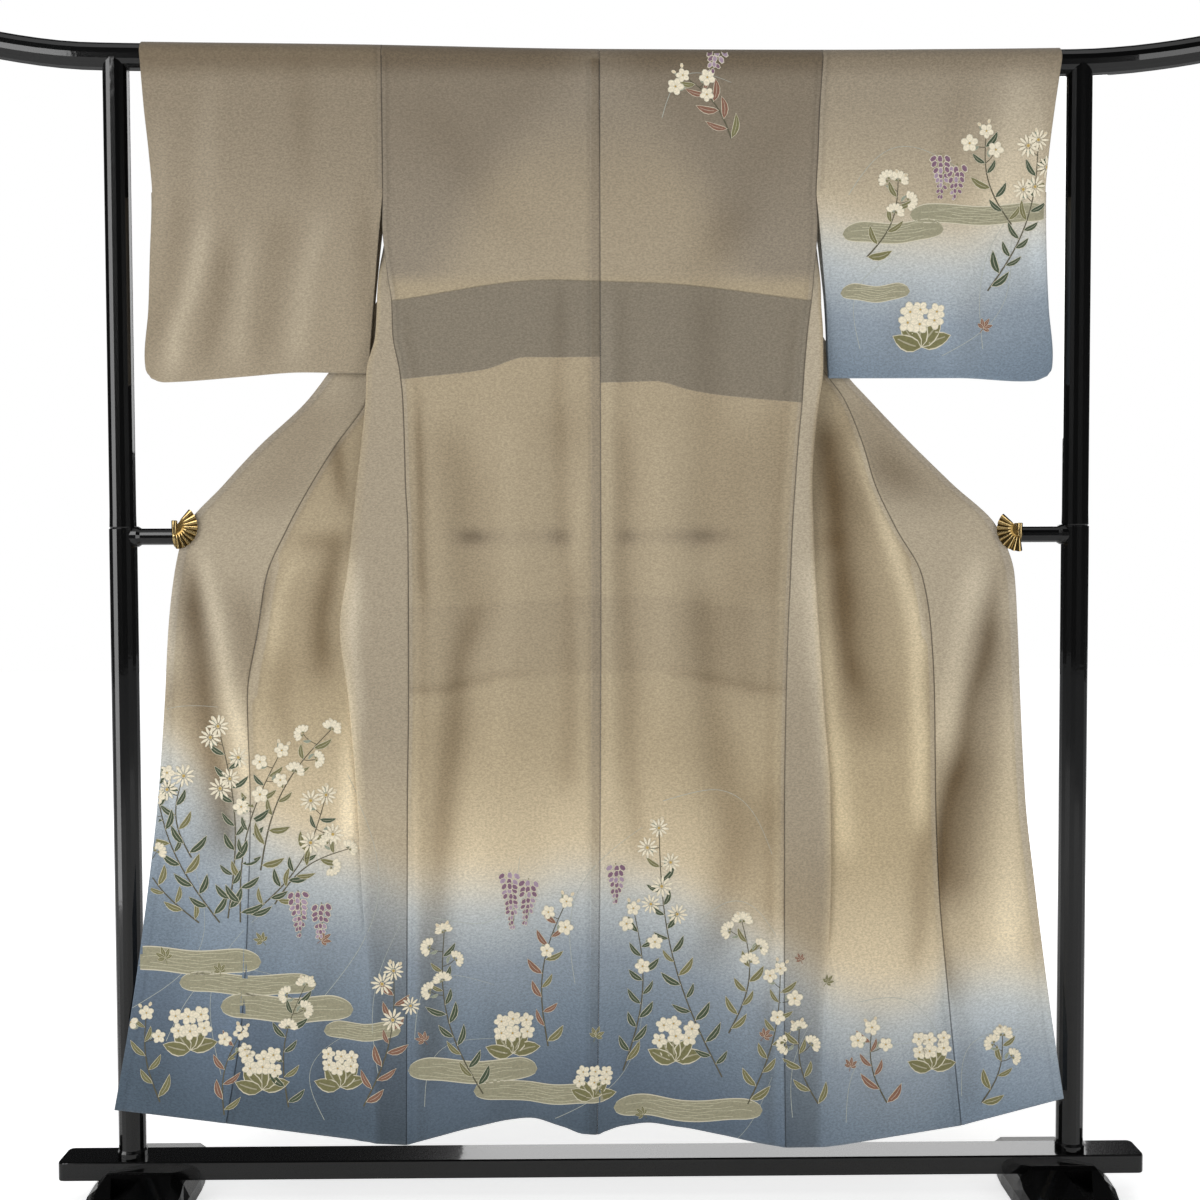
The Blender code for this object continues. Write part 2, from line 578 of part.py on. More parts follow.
def upright(side, slot):
    """Two tubes, one on the other, between the base rail and the top rail."""
    x = SIDES[side] * UPRIGHT_X
    foot = BASE_TOP + GAP
    lower = [((x, 0, foot), 0.0215), ((x, 0, foot + 0.008), 0.0215), ((x, 0, foot + 0.012), LOWER_RADIUS),
             ((x, 0, JOINT_HEIGHT - 0.0015), LOWER_RADIUS), ((x, 0, JOINT_HEIGHT), LOWER_RADIUS - 0.0015)]
    ring_tube(f"upright_lower_{side}", [(c, r, (0, 0, 1)) for c, r in lower], slot)
    bottom = JOINT_HEIGHT + GAP
    upper = [((x, 0, bottom), LOWER_RADIUS - 0.0015), ((x, 0, bottom + 0.0015), UPPER_RADIUS + 0.0004),
             ((x, 0, bottom + 0.02), UPPER_RADIUS), ((x, 0, float(rail_height(x / MM)) * MM), UPPER_RADIUS)]
    made = ring_tube(f"upright_upper_{side}", [(c, r, (0, 0, 1)) for c, r in upper], slot)
    places = [SIDES[side] * place for place in (600.0, 690.0, 720.0, 780.0)]
    saddle = rail_stations(RAIL_RADIUS + GAP, places)
    cut(made, ring_tube(f"saddle_{side}", saddle, slot, 32))


def crossbar(slot):
    """The bar between the uprights that the clips hold, with a small flare at both ends."""
    end = UPRIGHT_X - 0.008
    height = CROSSBAR_HEIGHT
    shape = ((-end, 0.0150), (-end + 0.0145, 0.0150), (-end + 0.0195, CROSSBAR_RADIUS))
    stations = [((x, 0, height), r, (1, 0, 0)) for x, r in shape]
    stations += [((x, 0, height), CROSSBAR_RADIUS, (1, 0, 0)) for x in (-0.3, 0.0, 0.3)]
    stations += [((-x, 0, height), r, (1, 0, 0)) for x, r in shape[::-1]]
    made = ring_tube("crossbar", stations, slot)
    for side, sign in SIDES.items():
        post = [((sign * UPRIGHT_X, 0, z), LOWER_RADIUS + GAP, (0, 0, 1)) for z in (0.94, 1.04)]
        cut(made, ring_tube(f"post_{side}", post, slot))


def rounded_box(name, low, high, slot, edge, vertical_edge=0.0):
    bm = bmesh.new()
    bmesh.ops.create_cube(bm, size=1.0)
    size = Vector(high) - Vector(low)
    middle = (Vector(high) + Vector(low)) / 2
    for vert in bm.verts:
        vert.co = Vector(vert.co[k] * size[k] + middle[k] for k in range(3))
    if vertical_edge:
        upright_edges = [e for e in bm.edges if abs(e.verts[0].co.z - e.verts[1].co.z) > 1e-6]
        bmesh.ops.bevel(bm, geom=upright_edges, offset=vertical_edge, segments=3, profile=0.5,
                        affect="EDGES", material=-1)
    if edge:
        level = [e for e in bm.edges if abs(e.verts[0].co.z - e.verts[1].co.z) < 1e-6]
        bmesh.ops.bevel(bm, geom=level, offset=edge, segments=2, profile=0.5, affect="EDGES", material=-1)
    return mesh_object(name, bm, slot, False)


def base_rail(slot):
    low = (-BASE_LENGTH / 2, -BASE_DEPTH / 2, BASE_TOP - BASE_HEIGHT)
    high = (BASE_LENGTH / 2, BASE_DEPTH / 2, BASE_TOP)
    return rounded_box("base_rail", low, high, slot, 0.002, 0.008)


def foot(side, slot):
    """A wide arched foot across the base rail, notched for it, with a vee recess in its front slope."""
    middle = SIDES[side] * (UPRIGHT_X - FOOT_INSET)
    shape = (  # depth, half width at the floor and on top, height
        (-FOOT_HALF_LENGTH, 0.046, 0.040, 0.010),
        (-0.140, 0.057, 0.050, 0.014),
        (-0.100, 0.066, 0.058, 0.027),
        (-0.055, 0.073, 0.062, 0.043),
        (-0.030, 0.075, 0.055, 0.052),
        (0.030, 0.075, 0.055, 0.052),
        (0.055, 0.073, 0.062, 0.046),
        (0.100, 0.066, 0.058, 0.036),
        (0.140, 0.057, 0.050, 0.026),
        (FOOT_HALF_LENGTH, 0.046, 0.040, 0.018),
    )
    bm = bmesh.new()
    rings = []
    for y, floor, top, height in shape:
        shoulder = height * 0.72
        outline = (
            (-floor, 0.0), (floor, 0.0), (floor * 0.99, shoulder * 0.5), ((floor + top) / 2, shoulder),
            (top * 0.86, height), (-top * 0.86, height), (-(floor + top) / 2, shoulder),
            (-floor * 0.99, shoulder * 0.5),
        )
        rings.append([bm.verts.new((middle + x, y, z)) for x, z in outline])
    count = len(rings[0])
    for near, far in zip(rings, rings[1:]):
        for k in range(count):
            bm.faces.new((near[k], near[(k + 1) % count], far[(k + 1) % count], far[k]))
    bm.faces.new(rings[0][::-1])
    bm.faces.new(rings[-1])
    bmesh.ops.recalc_face_normals(bm, faces=bm.faces[:])
    made = mesh_object(f"foot_{side}", bm, slot, False)
    low = (middle - 0.2, -BASE_DEPTH / 2 - GAP, BASE_TOP - BASE_HEIGHT - GAP)
    high = (middle + 0.2, BASE_DEPTH / 2 + GAP, BASE_TOP + 0.05)
    cut(made, rounded_box(f"notch_{side}", low, high, slot, 0.0))
    bm = bmesh.new()
    axis = SIDES[side] * UPRIGHT_X
    vee = ((axis - 0.021, -0.036), (axis + 0.021, -0.036), (axis + 0.002, -0.100), (axis - 0.002, -0.100))
    levels = [[bm.verts.new((x, y, z)) for x, y in vee] for z in (0.018, 0.090)]
    for k in range(4):
        bm.faces.new((levels[0][k], levels[0][(k + 1) % 4], levels[1][(k + 1) % 4], levels[1][k]))
    bm.faces.new(levels[0][::-1])
    bm.faces.new(levels[1])
    bmesh.ops.recalc_face_normals(bm, faces=bm.faces[:])
    cut(made, mesh_object(f"vee_{side}", bm, slot, False))


# Clips

# Apex of each fan in metres, and the angles at which its pleats start and end
CLIP_FANS = {
    "left": (-0.6185, 1.0035, -88.0, 50.0),
    "right": (0.6115, 0.9965, 137.0, 278.0),
}


def clip(side, slot):
    """A pleated fan on a jaw that grips the crossbar just outside the cloth."""
    apex_x, apex_z, start, end = CLIP_FANS[side]
    face_y = -0.0165
    bm = bmesh.new()
    steps = CLIP_PLEATS * 2
    rows = []
    for radius, relief in ((0.004, 0.0), (0.0115, 0.0), (0.0130, 1.0), (0.024, 1.0), (CLIP_RADIUS, 1.0)):
        row = []
        for k in range(steps + 1):
            angle = math.radians(start + (end - start) * k / steps)
            ridge = (0.0019 if k % 2 else 0.0) * relief * (0.5 + 0.5 * radius / CLIP_RADIUS)
            row.append(bm.verts.new((apex_x + radius * math.cos(angle), face_y - ridge - 0.0006,
                                     apex_z + radius * math.sin(angle))))
        rows.append(row)
    for lower, upper in zip(rows, rows[1:]):
        for k in range(steps):
            bm.faces.new((lower[k], lower[k + 1], upper[k + 1], upper[k]))
    bmesh.ops.recalc_face_normals(bm, faces=bm.faces[:])
    bm.normal_update()
    if next(iter(bm.faces)).normal.y > 0:
        bmesh.ops.reverse_faces(bm, faces=bm.faces[:])
    fan = mesh_object(f"clip_{side}", bm, slot, False)
    wall = fan.modifiers.new("Plate", "SOLIDIFY")
    wall.thickness = 0.0012
    wall.offset = -1.0
    jaw_x = apex_x + SIDES[side] * 0.0015
    bm = bmesh.new()
    inner, outer, half = CROSSBAR_RADIUS + GAP, CROSSBAR_RADIUS + 0.0045, 0.0038
    rings = []
    for k in range(25):
        turned = math.radians(-205.0 + 300.0 * k / 24)
        ring = []
        for x, radius in ((-half, inner), (half, inner), (half, outer), (-half, outer)):
            ring.append(bm.verts.new((jaw_x + x, radius * math.cos(turned),
                                      CROSSBAR_HEIGHT + radius * math.sin(turned))))
        rings.append(ring)
    for near, far in zip(rings, rings[1:]):
        for k in range(4):
            bm.faces.new((near[k], near[(k + 1) % 4], far[(k + 1) % 4], far[k]))
    bm.faces.new(rings[0][::-1])
    bm.faces.new(rings[-1])
    bmesh.ops.recalc_face_normals(bm, faces=bm.faces[:])
    jaw = mesh_object(f"jaw_{side}", bm, slot, False)
    jaw.hide_render = True
    heights = (apex_z - 0.011, apex_z + 0.009)
    stations = [((jaw_x, -0.0172, z), 0.0042, (0, 0, 1)) for z in heights]
    barrel = ring_tube(f"barrel_{side}", stations, slot, 12)
    barrel.hide_render = True
    for part in (jaw, barrel):
        join = fan.modifiers.new("Join", "BOOLEAN")
        join.operation = "UNION"
        join.solver = "EXACT"
        join.object = part


def build():
    for old in list(bpy.data.objects):
        bpy.data.objects.remove(old)
    crepe = material("crepe_silk", (0.46, 0.40, 0.33), 0.85)
    lacquer = material("black_lacquer", (0.006, 0.006, 0.007), 0.12, coat=1.0)
    gold = material("gold_plate", (0.55, 0.38, 0.14), 0.28, metallic=1.0)
    for side in SIDES:
        sheet(f"body_{side}", body_rows(side), crepe)
        sheet(f"okumi_{side}", okumi_rows(side), crepe)
        sleeve(side, crepe)
        upright(side, lacquer)
        foot(side, lacquer)
        clip(side, gold)
    sheet("collar", collar_rows(), crepe, COLLAR_CLOTH, (0, 1, 0))
    top_rail(lacquer)
    crossbar(lacquer)
    base_rail(lacquer)


build()
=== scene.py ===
# %% [markdown]
# # A silk kimono on its stand
# The garment hangs over a rail with its back to the viewer, and both fronts are opened out like doors
# and clipped to a thin bar. The CAD model already holds every solid. This script keeps the stand's
# solids, and gives each piece of cloth a thin, finely divided shell on the same surface, so that the
# folds, the seams and the dyed design can be shown.

import math
import random

import bmesh
import bpy
import numpy as np
from mathutils import Matrix, Vector
from mathutils.bvhtree import BVHTree


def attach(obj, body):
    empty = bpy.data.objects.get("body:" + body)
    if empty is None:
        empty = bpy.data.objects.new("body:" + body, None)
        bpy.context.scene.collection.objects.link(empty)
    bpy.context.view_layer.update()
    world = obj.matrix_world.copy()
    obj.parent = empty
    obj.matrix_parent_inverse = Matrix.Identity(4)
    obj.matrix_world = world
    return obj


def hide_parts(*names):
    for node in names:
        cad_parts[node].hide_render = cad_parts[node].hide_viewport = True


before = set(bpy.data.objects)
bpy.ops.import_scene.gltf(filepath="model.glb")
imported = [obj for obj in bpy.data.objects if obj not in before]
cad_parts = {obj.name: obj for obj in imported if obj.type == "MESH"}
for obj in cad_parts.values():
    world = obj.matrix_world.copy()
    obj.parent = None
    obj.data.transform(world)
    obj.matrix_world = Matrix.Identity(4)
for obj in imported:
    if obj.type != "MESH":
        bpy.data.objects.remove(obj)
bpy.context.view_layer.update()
print("nodes:", ", ".join(sorted(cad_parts)))

# %% [markdown]
# ## Sizes
# Millimetres in the tables, metres in the meshes. +X is to the right of the viewer, +Z is up, and the
# viewer stands at -Y. The numbers are those that the solids were made from, so that the shells lie
# inside them: the rail's axis, the cloth's distance from it, and the widths of the cut pieces.

# %% Named sizes
MM = 0.001
SIDES = {"left": -1.0, "right": 1.0}
# Thickness of the shells, in metres
SHELL = 0.0011
COLLAR_SHELL = 0.0020
# The crossbar's height, and how far cloth that touches it stays from its axis
CROSSBAR_HEIGHT = 989.0
CROSSBAR_REACH = 12.0
# Cloth over the rail: its distance from the rail's axis, the angle between two rows, and the angle at
# which the slit for the neck begins
OVER_RAIL = 20.55
RAIL_STEP = 8.0
NECK_ANGLE = 132.0
# Rows of the hanging garment, named by their height: the rail's top, where cloth leaves the rail's curve,
# the cuff's and the armhole's lower ends, the overlap panel's point, the waist tuck and the hem
TOP_ROW = 1672.0
UNDER_RAIL = 1640.0
CUFF_END = 1487.0
ARMHOLE = 1483.0
OKUMI_TOP = 1458.0
TUCK_ROW = 1330.0
HEM_ROW = 85.0
HEM_REACH = 500.0
# Widths: the space between body and sleeve, half the neck, half the back, the folded collar, and the
# round fold below a sleeve
SEAM_GAP = -0.1
NECK_HALF = 88.0
BACK_HALF = 317.0
COLLAR_WIDTH = 56.0
FOLD_BELOW = 2.4
# A measure that stands for "not near"
FAR_AWAY = 40.0

# Height of the top rail's axis along its length: it sags a little and both ends sweep up
RAIL_AXIS = ((-960, 1720), (-920, 1709.5), (-866, 1699), (-809, 1690), (-751, 1684.5), (-694, 1683),
             (-360, 1679), (0, 1672.5), (325, 1671.5), (500, 1672.5), (701, 1675), (759, 1678.5),
             (818, 1685), (876, 1694), (920, 1703), (960, 1713.5))

# A front panel seen from above, at each height: the side seam, the pleat's outer and inner turn, where the
# cloth doubles back behind itself, the okumi seam and the okumi's free edge. The reach is the distance from
# the centre, and both fronts share their depths. Near the shoulder the pleat is open and the panel hangs on
# the far side of the rail.
FRONT_HEIGHTS = (1672, 1630, 1590, 1540, 1483, 1440, 1400, 1360, 1330, 1280, 1227, 1186, 1120, 1064, 1000,
                 930, 857, 750, 600, 485, 300, 85)
FRONT_DEPTH = {
    "side": (20.1, 20.1, 20, 19.8, 19.5, 5, -8, -18.5, -24, -24.5, -24.5, -24.5, -24.5, -24.5, -24.5,
             -24.5, -24.5, -24.5, -25, -25.5, -27, -29),
    "out_near": (20.1, 20.1, 20.1, 20, 19.5, 13, 0, -14, -22.5, -24.5, -24.5, -25, -25.5, -25.5, -25.5,
                 -25, -25, -25, -25.5, -26, -27, -28.5),
    "out_far": (20.1, 20.1, 20.1, 20, 19.5, 18, 10, -4, -13, -16, -17.5, -19, -19.5, -19.5, -19.5, -19.5,
                -19.5, -19.5, -20.5, -21.5, -25, -27),
    "in_near": (20.1, 20.1, 20, 18.5, 16.5, 14, 11.5, 8.5, 6.5, 3, -2, -6, -10, -13.5, -19, -19, -19, -19,
                -19.5, -20.5, -24, -26),
    "in_far": (20.1, 21.5, 24, 24.5, 23, 20.5, 18, 15.5, 14, 11, 5, 0, -4.5, -8, -13.8, -13.6, -13.5,
               -13.5, -14.5, -16.5, -22.5, -25),
    "seam": (20.1, 25.5, 27.5, 27.5, 26, 23.5, 21, 18.5, 17, 14, 9.5, 5, -1, -6.5, -13.6, -14.5, -16, -18,
             -20, -22, -25.5, -29),
    "edge": (20.1, 25.5, 27.5, 27.5, 26, 24, 21.5, 19.5, 18, 15, 10, 5.5, -0.5, -6, -13.3, -16, -19, -22,
             -24.5, -26, -28, -31),
}
FRONT_REACH = {
    "left": {
        "side": (313.5, 313.5, 313.3, 313, 313, 314, 311, 306, 301, 299.5, 290, 286, 284, 283, 280, 280,
                 280.5, 281, 284, 285, 287, 289),
        "out_near": (285, 285, 286, 288, 296, 312, 316, 318, 318, 321, 335, 337, 344, 351, 358, 367, 378,
                     366, 355, 350, 338, 332),
        "out_far": (262, 263, 264, 268, 281, 302, 311, 316, 317, 320, 334, 336, 343, 350, 357, 366, 376,
                    365, 354, 350, 344, 345),
        "in_near": (150, 150, 146, 141, 136, 148, 161, 178, 193, 217, 247, 260, 294, 320, 345, 357, 367,
                    357, 346, 346, 352, 356),
        "in_far": (118, 114, 119, 130, 136, 149, 162, 179, 194, 218, 248, 261, 295, 321, 346, 358, 368,
                   358, 347, 348, 360, 368),
        "seam": (88, 112, 148, 186, 226, 247, 266, 284, 297, 313, 330, 343, 389, 423, 457, 488, 500, 517,
                 514, 517, 527, 560),
        "edge": (88, 112, 148, 186, 228, 255, 283, 310, 331, 364, 400, 431, 500, 551, 605, 622, 630, 636,
                 648, 662, 689, 728),
    },
    "right": {
        "side": (322, 319.5, 317, 315.5, 313, 315, 313, 309, 306, 300, 295.5, 293, 287, 283, 279, 276.3,
                 273, 270, 268, 268, 268, 270),
        "out_near": (290, 289, 288, 290, 296, 312, 317, 317, 316, 319, 320, 315, 308, 305, 307, 310, 315,
                     322, 333, 334, 325, 320),
        "out_far": (265, 265, 265, 268, 281, 302, 311, 315, 315, 318, 319, 314, 307, 304, 306, 309, 314,
                    321, 332, 334, 331, 333),
        "in_near": (150, 148, 142, 136, 127, 136, 149, 162, 173, 188, 205, 218, 240, 259, 283, 294, 299,
                    307, 319, 325, 339, 345),
        "in_far": (118, 113, 115, 125, 127, 137, 150, 163, 174, 189, 206, 219, 241, 260, 284, 295, 300,
                   308, 320, 327, 347, 357),
        "seam": (88, 111, 143, 174, 207, 226, 241, 258, 272, 298, 332, 360, 386, 402, 431, 470, 483, 489,
                 491, 495, 511, 533),
        "edge": (88, 111, 143, 174, 209, 233, 257, 281, 300, 330, 361, 397, 459, 515, 580, 606, 610, 614,
                 622, 635, 659, 692),
    },
}
# Hem height at those seven places of a front
FRONT_HEM = {
    "left": (93.0, 95.0, 97.0, 98.0, 100.0, 127.0, 149.0),
    "right": (85.0, 85.0, 85.0, 86.0, 87.0, 116.0, 156.0),
}

# Depth of the back at its side seam and at its centre
BACK_HEIGHTS = (1672, 1483, 1400, 1360, 1330, 1227, 989, 600, 300, 85)
BACK_SIDE_DEPTH = (-20.1, -19.5, -21.3, -22.8, -24.2, -24.5, -24.5, -25, -27, -29)
BACK_CENTRE_DEPTH = (-20.1, -20.5, -21.5, -22, -22.3, -23, -23.2, -23.5, -25, -28)
# Soft valleys down the back, where the cloth sinks against the crossbar
VALLEY_HEIGHTS = (85.0, 350.0, 600.0, 989.0, 1150.0, 1330.0)
VALLEYS = (
    {"x": (-215, -212, -208, -192, -185, -180), "depth": (0.0, 3.0, 7.0, 9.6, 4.0, 0.0), "width": 27.0},
    {"x": (-114, -92, -75, -59, -58, -60), "depth": (13.0, 8.0, 6.0, 9.4, 5.0, 0.0), "width": 30.0},
    {"x": (68, 52, 45, 41, 40, 40), "depth": (11.0, 7.0, 6.0, 9.4, 5.0, 0.0), "width": 30.0},
    {"x": (190, 180, 170, 155, 150, 150), "depth": (1.0, 3.0, 7.0, 9.6, 4.0, 0.0), "width": 27.0},
)
BACK_HEM = (
    (-289, 93), (-243, 105), (-187, 119), (-137, 127), (-103, 127), (-59, 118), (-28, 107), (-8, 106),
    (2, 110), (31, 118), (70, 119), (116, 116), (172, 105), (225, 93), (270, 85),
)
CENTRE_SEAM = ((85, -8.0), (600, -2.0), (1000, 0.0), (1672, 0.0))

# A sleeve: distance of both vertical edges from the centre, and how far each layer stands from the
# middle of the bag at the body side, at the cuff side and between
SLEEVE_HEIGHTS = (1672, 1600, 1540, 1483, 1465, 1400, 1320, 1250, 1232, 1220)
SLEEVE_EDGES = {
    "left": {
        "inner": (313.5, 313.3, 313, 313, 314.8, 322, 329.5, 336, 337.5, 338.5),
        "outer": (660, 656, 651, 648, 648.5, 652, 655.5, 662, 660.5, 652),
    },
    "right": {
        "inner": (322, 317.6, 315.5, 313, 314.8, 322, 329.5, 332.5, 333.5, 334),
        "outer": (668, 659, 653, 649.5, 649.8, 651.5, 655.5, 662, 661, 652.5),
    },
}
SLEEVE_INNER_HALF = (20.1, 20, 19.8, 19.5, 18, 13.5, 8, 4.4, 3.4, 3.2)
SLEEVE_OUTER_HALF = (20.1, 15, 10.5, 6.5, 4.4, 3.3, 3.2, 3.2, 3.2, 3.2)
SLEEVE_SWELL = (0, 0.6, 1.4, 2, 2.2, 3, 3, 1.4, 0.5, 0)
SLEEVE_BOTTOM = {
    "left": ((0.0, 1229), (0.3, 1231), (0.57, 1225), (0.9, 1217.5), (0.95, 1217), (0.98, 1218.5),
             (1.0, 1222)),
    "right": ((0.0, 1221), (0.3, 1221), (0.6, 1221), (0.9, 1216), (0.95, 1216.5), (0.98, 1219),
              (1.0, 1223)),
}

# %% [markdown]
# ## Reading the tables
# A dressmaker measures a garment at a few heights and lets the cloth run smoothly between them. The
# helper below does the same with a cubic that never overshoots a measured value, so no fold grows that
# nobody asked for. It reads whole grids of heights at once, which keeps the script quick.

# %% Smooth reading
def smooth(stations, values, at):
    order = np.argsort(stations)
    x = np.asarray(stations, float)[order]
    y = np.asarray(values, float)[order]
    steps = np.diff(x)
    slopes = np.diff(y) / steps
    tangent = np.empty_like(y)
    tangent[0] = slopes[0]
    tangent[-1] = slopes[-1]
    before = slopes[:-1]
    after = slopes[1:]
    same_way = before * after > 0
    tangent[1:-1] = np.where(same_way, 2 * before * after / np.where(same_way, before + after, 1.0), 0.0)
    at = np.clip(at, x[0], x[-1])
    k = np.clip(np.searchsorted(x, at, side="right") - 1, 0, len(x) - 2)
    t = (at - x[k]) / steps[k]
    start = y[k] * (1 + 2 * t) * (1 - t) ** 2 + steps[k] * tangent[k] * t * (1 - t) ** 2
    end = y[k + 1] * t * t * (3 - 2 * t) + steps[k] * tangent[k + 1] * t * t * (t - 1)
    return start + end


def front_x(side, place, at):
    """Distance of a named place of a front from the centre."""
    return smooth(FRONT_HEIGHTS, FRONT_REACH[side][place], at)


def sleeve_edge(side, edge, at):
    return smooth(SLEEVE_HEIGHTS, SLEEVE_EDGES[side][edge], at)


def pairs(table, at):
    return smooth([row[0] for row in table], [row[1] for row in table], at)


def ease(t):
    t = np.clip(t, 0.0, 1.0)
    return t * t * (3 - 2 * t)


def rail_height(x):
    return pairs(RAIL_AXIS, x)


def follow_rail(x, z, row):
    """Above the armholes the cloth rises and sinks with the rail that it hangs on."""
    return z + (rail_height(x) - TOP_ROW) * ease((row - ARMHOLE) / (TOP_ROW - ARMHOLE))


def round_rail(x, degrees):
    """Places over the rail, at an angle that grows from the viewer's side to the far side."""
    angle = math.radians(degrees)
    return np.stack([x, np.full_like(x, -OVER_RAIL * math.cos(angle)),
                     rail_height(x) + OVER_RAIL * math.sin(angle)], axis=-1)


def denser_ends(t, amount):
    """Moves even steps towards both ends, because a seam needs finer cloth than the middle."""
    return t - amount * np.sin(2 * math.pi * t) / (2 * math.pi)


def bump(distance, width):
    return np.exp(-(np.asarray(distance) / width) ** 2)


def uneven(a, b, seed=0.0):
    """A slow, repeatable unevenness from -1 to 1, from a few crossed waves."""
    return (np.sin(a + 1.7 * b + seed) + np.sin(1.9 * a - 0.6 * b + 2.1 * seed + 1.0)
            + np.sin(0.55 * a + 2.6 * b - seed + 2.0)) / 3.0


# %% [markdown]
# ## Creases
# Crepe that has been folded in a drawer and then hung keeps soft, uneven folds. Each one here is a line
# through a few measured places, with a width, a depth away from the viewer and a painted shade. The silk
# is thin enough to glow where it stands free, but no light passes through it here, so the darker look of
# a fold that lies against the next layer and the lighter look of a ridge are painted into its colour, on
# top of the shading of the slope; a ridge has minus signs. A slow wave along each line keeps it from
# looking like a pipe.

# %% Crease lines: width, depth, painted shade, then places as (x, z), all in millimetres
BACK_CREASES = (
    (9, 1.0, 0.26, (-264, 1171), (-262, 1070), (-263, 939), (-258, 896)),
    (38, 1.2, 0.21, (-218, 1142), (-196, 1012), (-188, 895)),
    (22, 1.0, 0.36, (-182, 888), (-204, 808), (-211, 749), (-223, 662), (-235, 573), (-240, 485),
     (-247, 366), (-251, 188)),
    (12, 1.0, 0.17, (-58, 1343), (-59, 1156), (-57, 953)),
    (18, 0.6, 0.19, (-45, 939), (-47, 837), (-46, 749), (-55, 617)),
    (16, 1.0, 0.19, (33, 1156), (33, 953), (39, 836), (43, 660), (56, 513)),
    (13, 0.6, 0.1, (32, 1343), (31, 1185)),
    (27, 1.0, 0.15, (153, 1343), (156, 1156), (153, 953)),
    (30, 1.2, 0.28, (147, 909), (156, 807), (165, 733), (176, 645), (190, 556), (182, 468), (162, 364)),
    (24, 0.8, 0.17, (253, 1184), (249, 1039), (245, 894)),
    (30, 0.8, 0.17, (205, 1141), (200, 1011), (203, 894), (217, 748)),
    (50, 0.8, 0.22, (244, 615), (238, 512), (247, 408)),
    (15, -1.2, -0.06, (-136, 1156), (-129, 953), (-140, 822), (-153, 661)),
    (7, -1.0, -0.07, (-27, 1069), (-35, 953), (-30, 822), (-29, 661)),
    (18, -1.0, -0.07, (86, 1141), (87, 836), (88, 690)),
    (9, -0.6, -0.14, (11, 1329), (11, 1098), (11, 836), (11, 602)),
    (38, 0.8, 0.16, (195, 1457), (176, 1400), (144, 1364)),
    (44, 0.8, 0.16, (-50, 1178), (-59, 1113)),
    (21, -1.0, -0.08, (-187, 573), (-191, 455)),
    (38, 1.0, 0.06, (-244, 1600), (-187, 1514), (-115, 1415)),
    (36, 1.0, 0.06, (274, 1586), (202, 1486), (152, 1386)),
    (44, -1.0, -0.06, (231, 1429), (202, 1383)),
    (15, 1.4, 0.14, (240, 304), (244, 139)),
    (21, 1.4, 0.12, (-159, 306), (-152, 127)),
    (24, -1.2, -0.08, (-18, 246), (55, 141)),
)
PANEL_CREASES = (
    (24, 1.6, 0.26, (-493, 925), (-508, 867), (-516, 802)),
    (15, 1.6, 0.16, (-459, 823), (-469, 750), (-455, 677)),
    (13, 2.0, 0.42, (-386, 1128), (-381, 1085), (-376, 1041)),
    (59, 0.8, 0.26, (-429, 1157), (-442, 1070)),
    (18, 3.0, 0.4, (-382, 990), (-397, 925), (-408, 852), (-407, 794)),
    (36, 1.0, 0.17, (-414, 925), (-418, 838), (-416, 765)),
    (13, -1.8, -0.58, (-362, 954), (-365, 896), (-365, 823), (-362, 750), (-368, 662), (-372, 544)),
    (12, -1.6, -0.28, (-443, 954), (-467, 896), (-480, 823)),
    (21, 1.6, 0.13, (-412, 367), (-402, 143)),
    (18, -1.4, -0.1, (-456, 367), (-446, 159)),
    (21, 2.4, 0.37, (328, 1163), (332, 1112), (341, 1039), (347, 966), (353, 893), (361, 820), (373, 761)),
    (40, 1.6, 0.36, (345, 1155), (348, 1112), (357, 1039), (363, 966), (368, 893), (376, 820),
     (385, 747), (394, 688)),
    (13, -1.6, -0.5, (380, 1126), (405, 1039), (429, 966), (451, 893), (462, 820), (464, 746),
     (466, 673), (466, 569)),
    (19, -1.4, -0.52, (308, 937), (314, 894), (320, 820), (329, 747), (339, 673), (350, 600), (355, 526)),
    (65, -0.8, -0.08, (397, 599), (397, 525), (401, 407), (404, 332)),
    (18, 1.2, 0.28, (480, 555), (470, 480), (469, 421), (460, 347)),
    (21, 1.0, 0.09, (398, 302), (405, 137)),
    (7, -0.8, -0.2, (-466, 966), (-480, 896), (-498, 824), (-509, 762)),
    (7, -0.8, -0.2, (460, 949), (466, 878), (478, 808)),
)
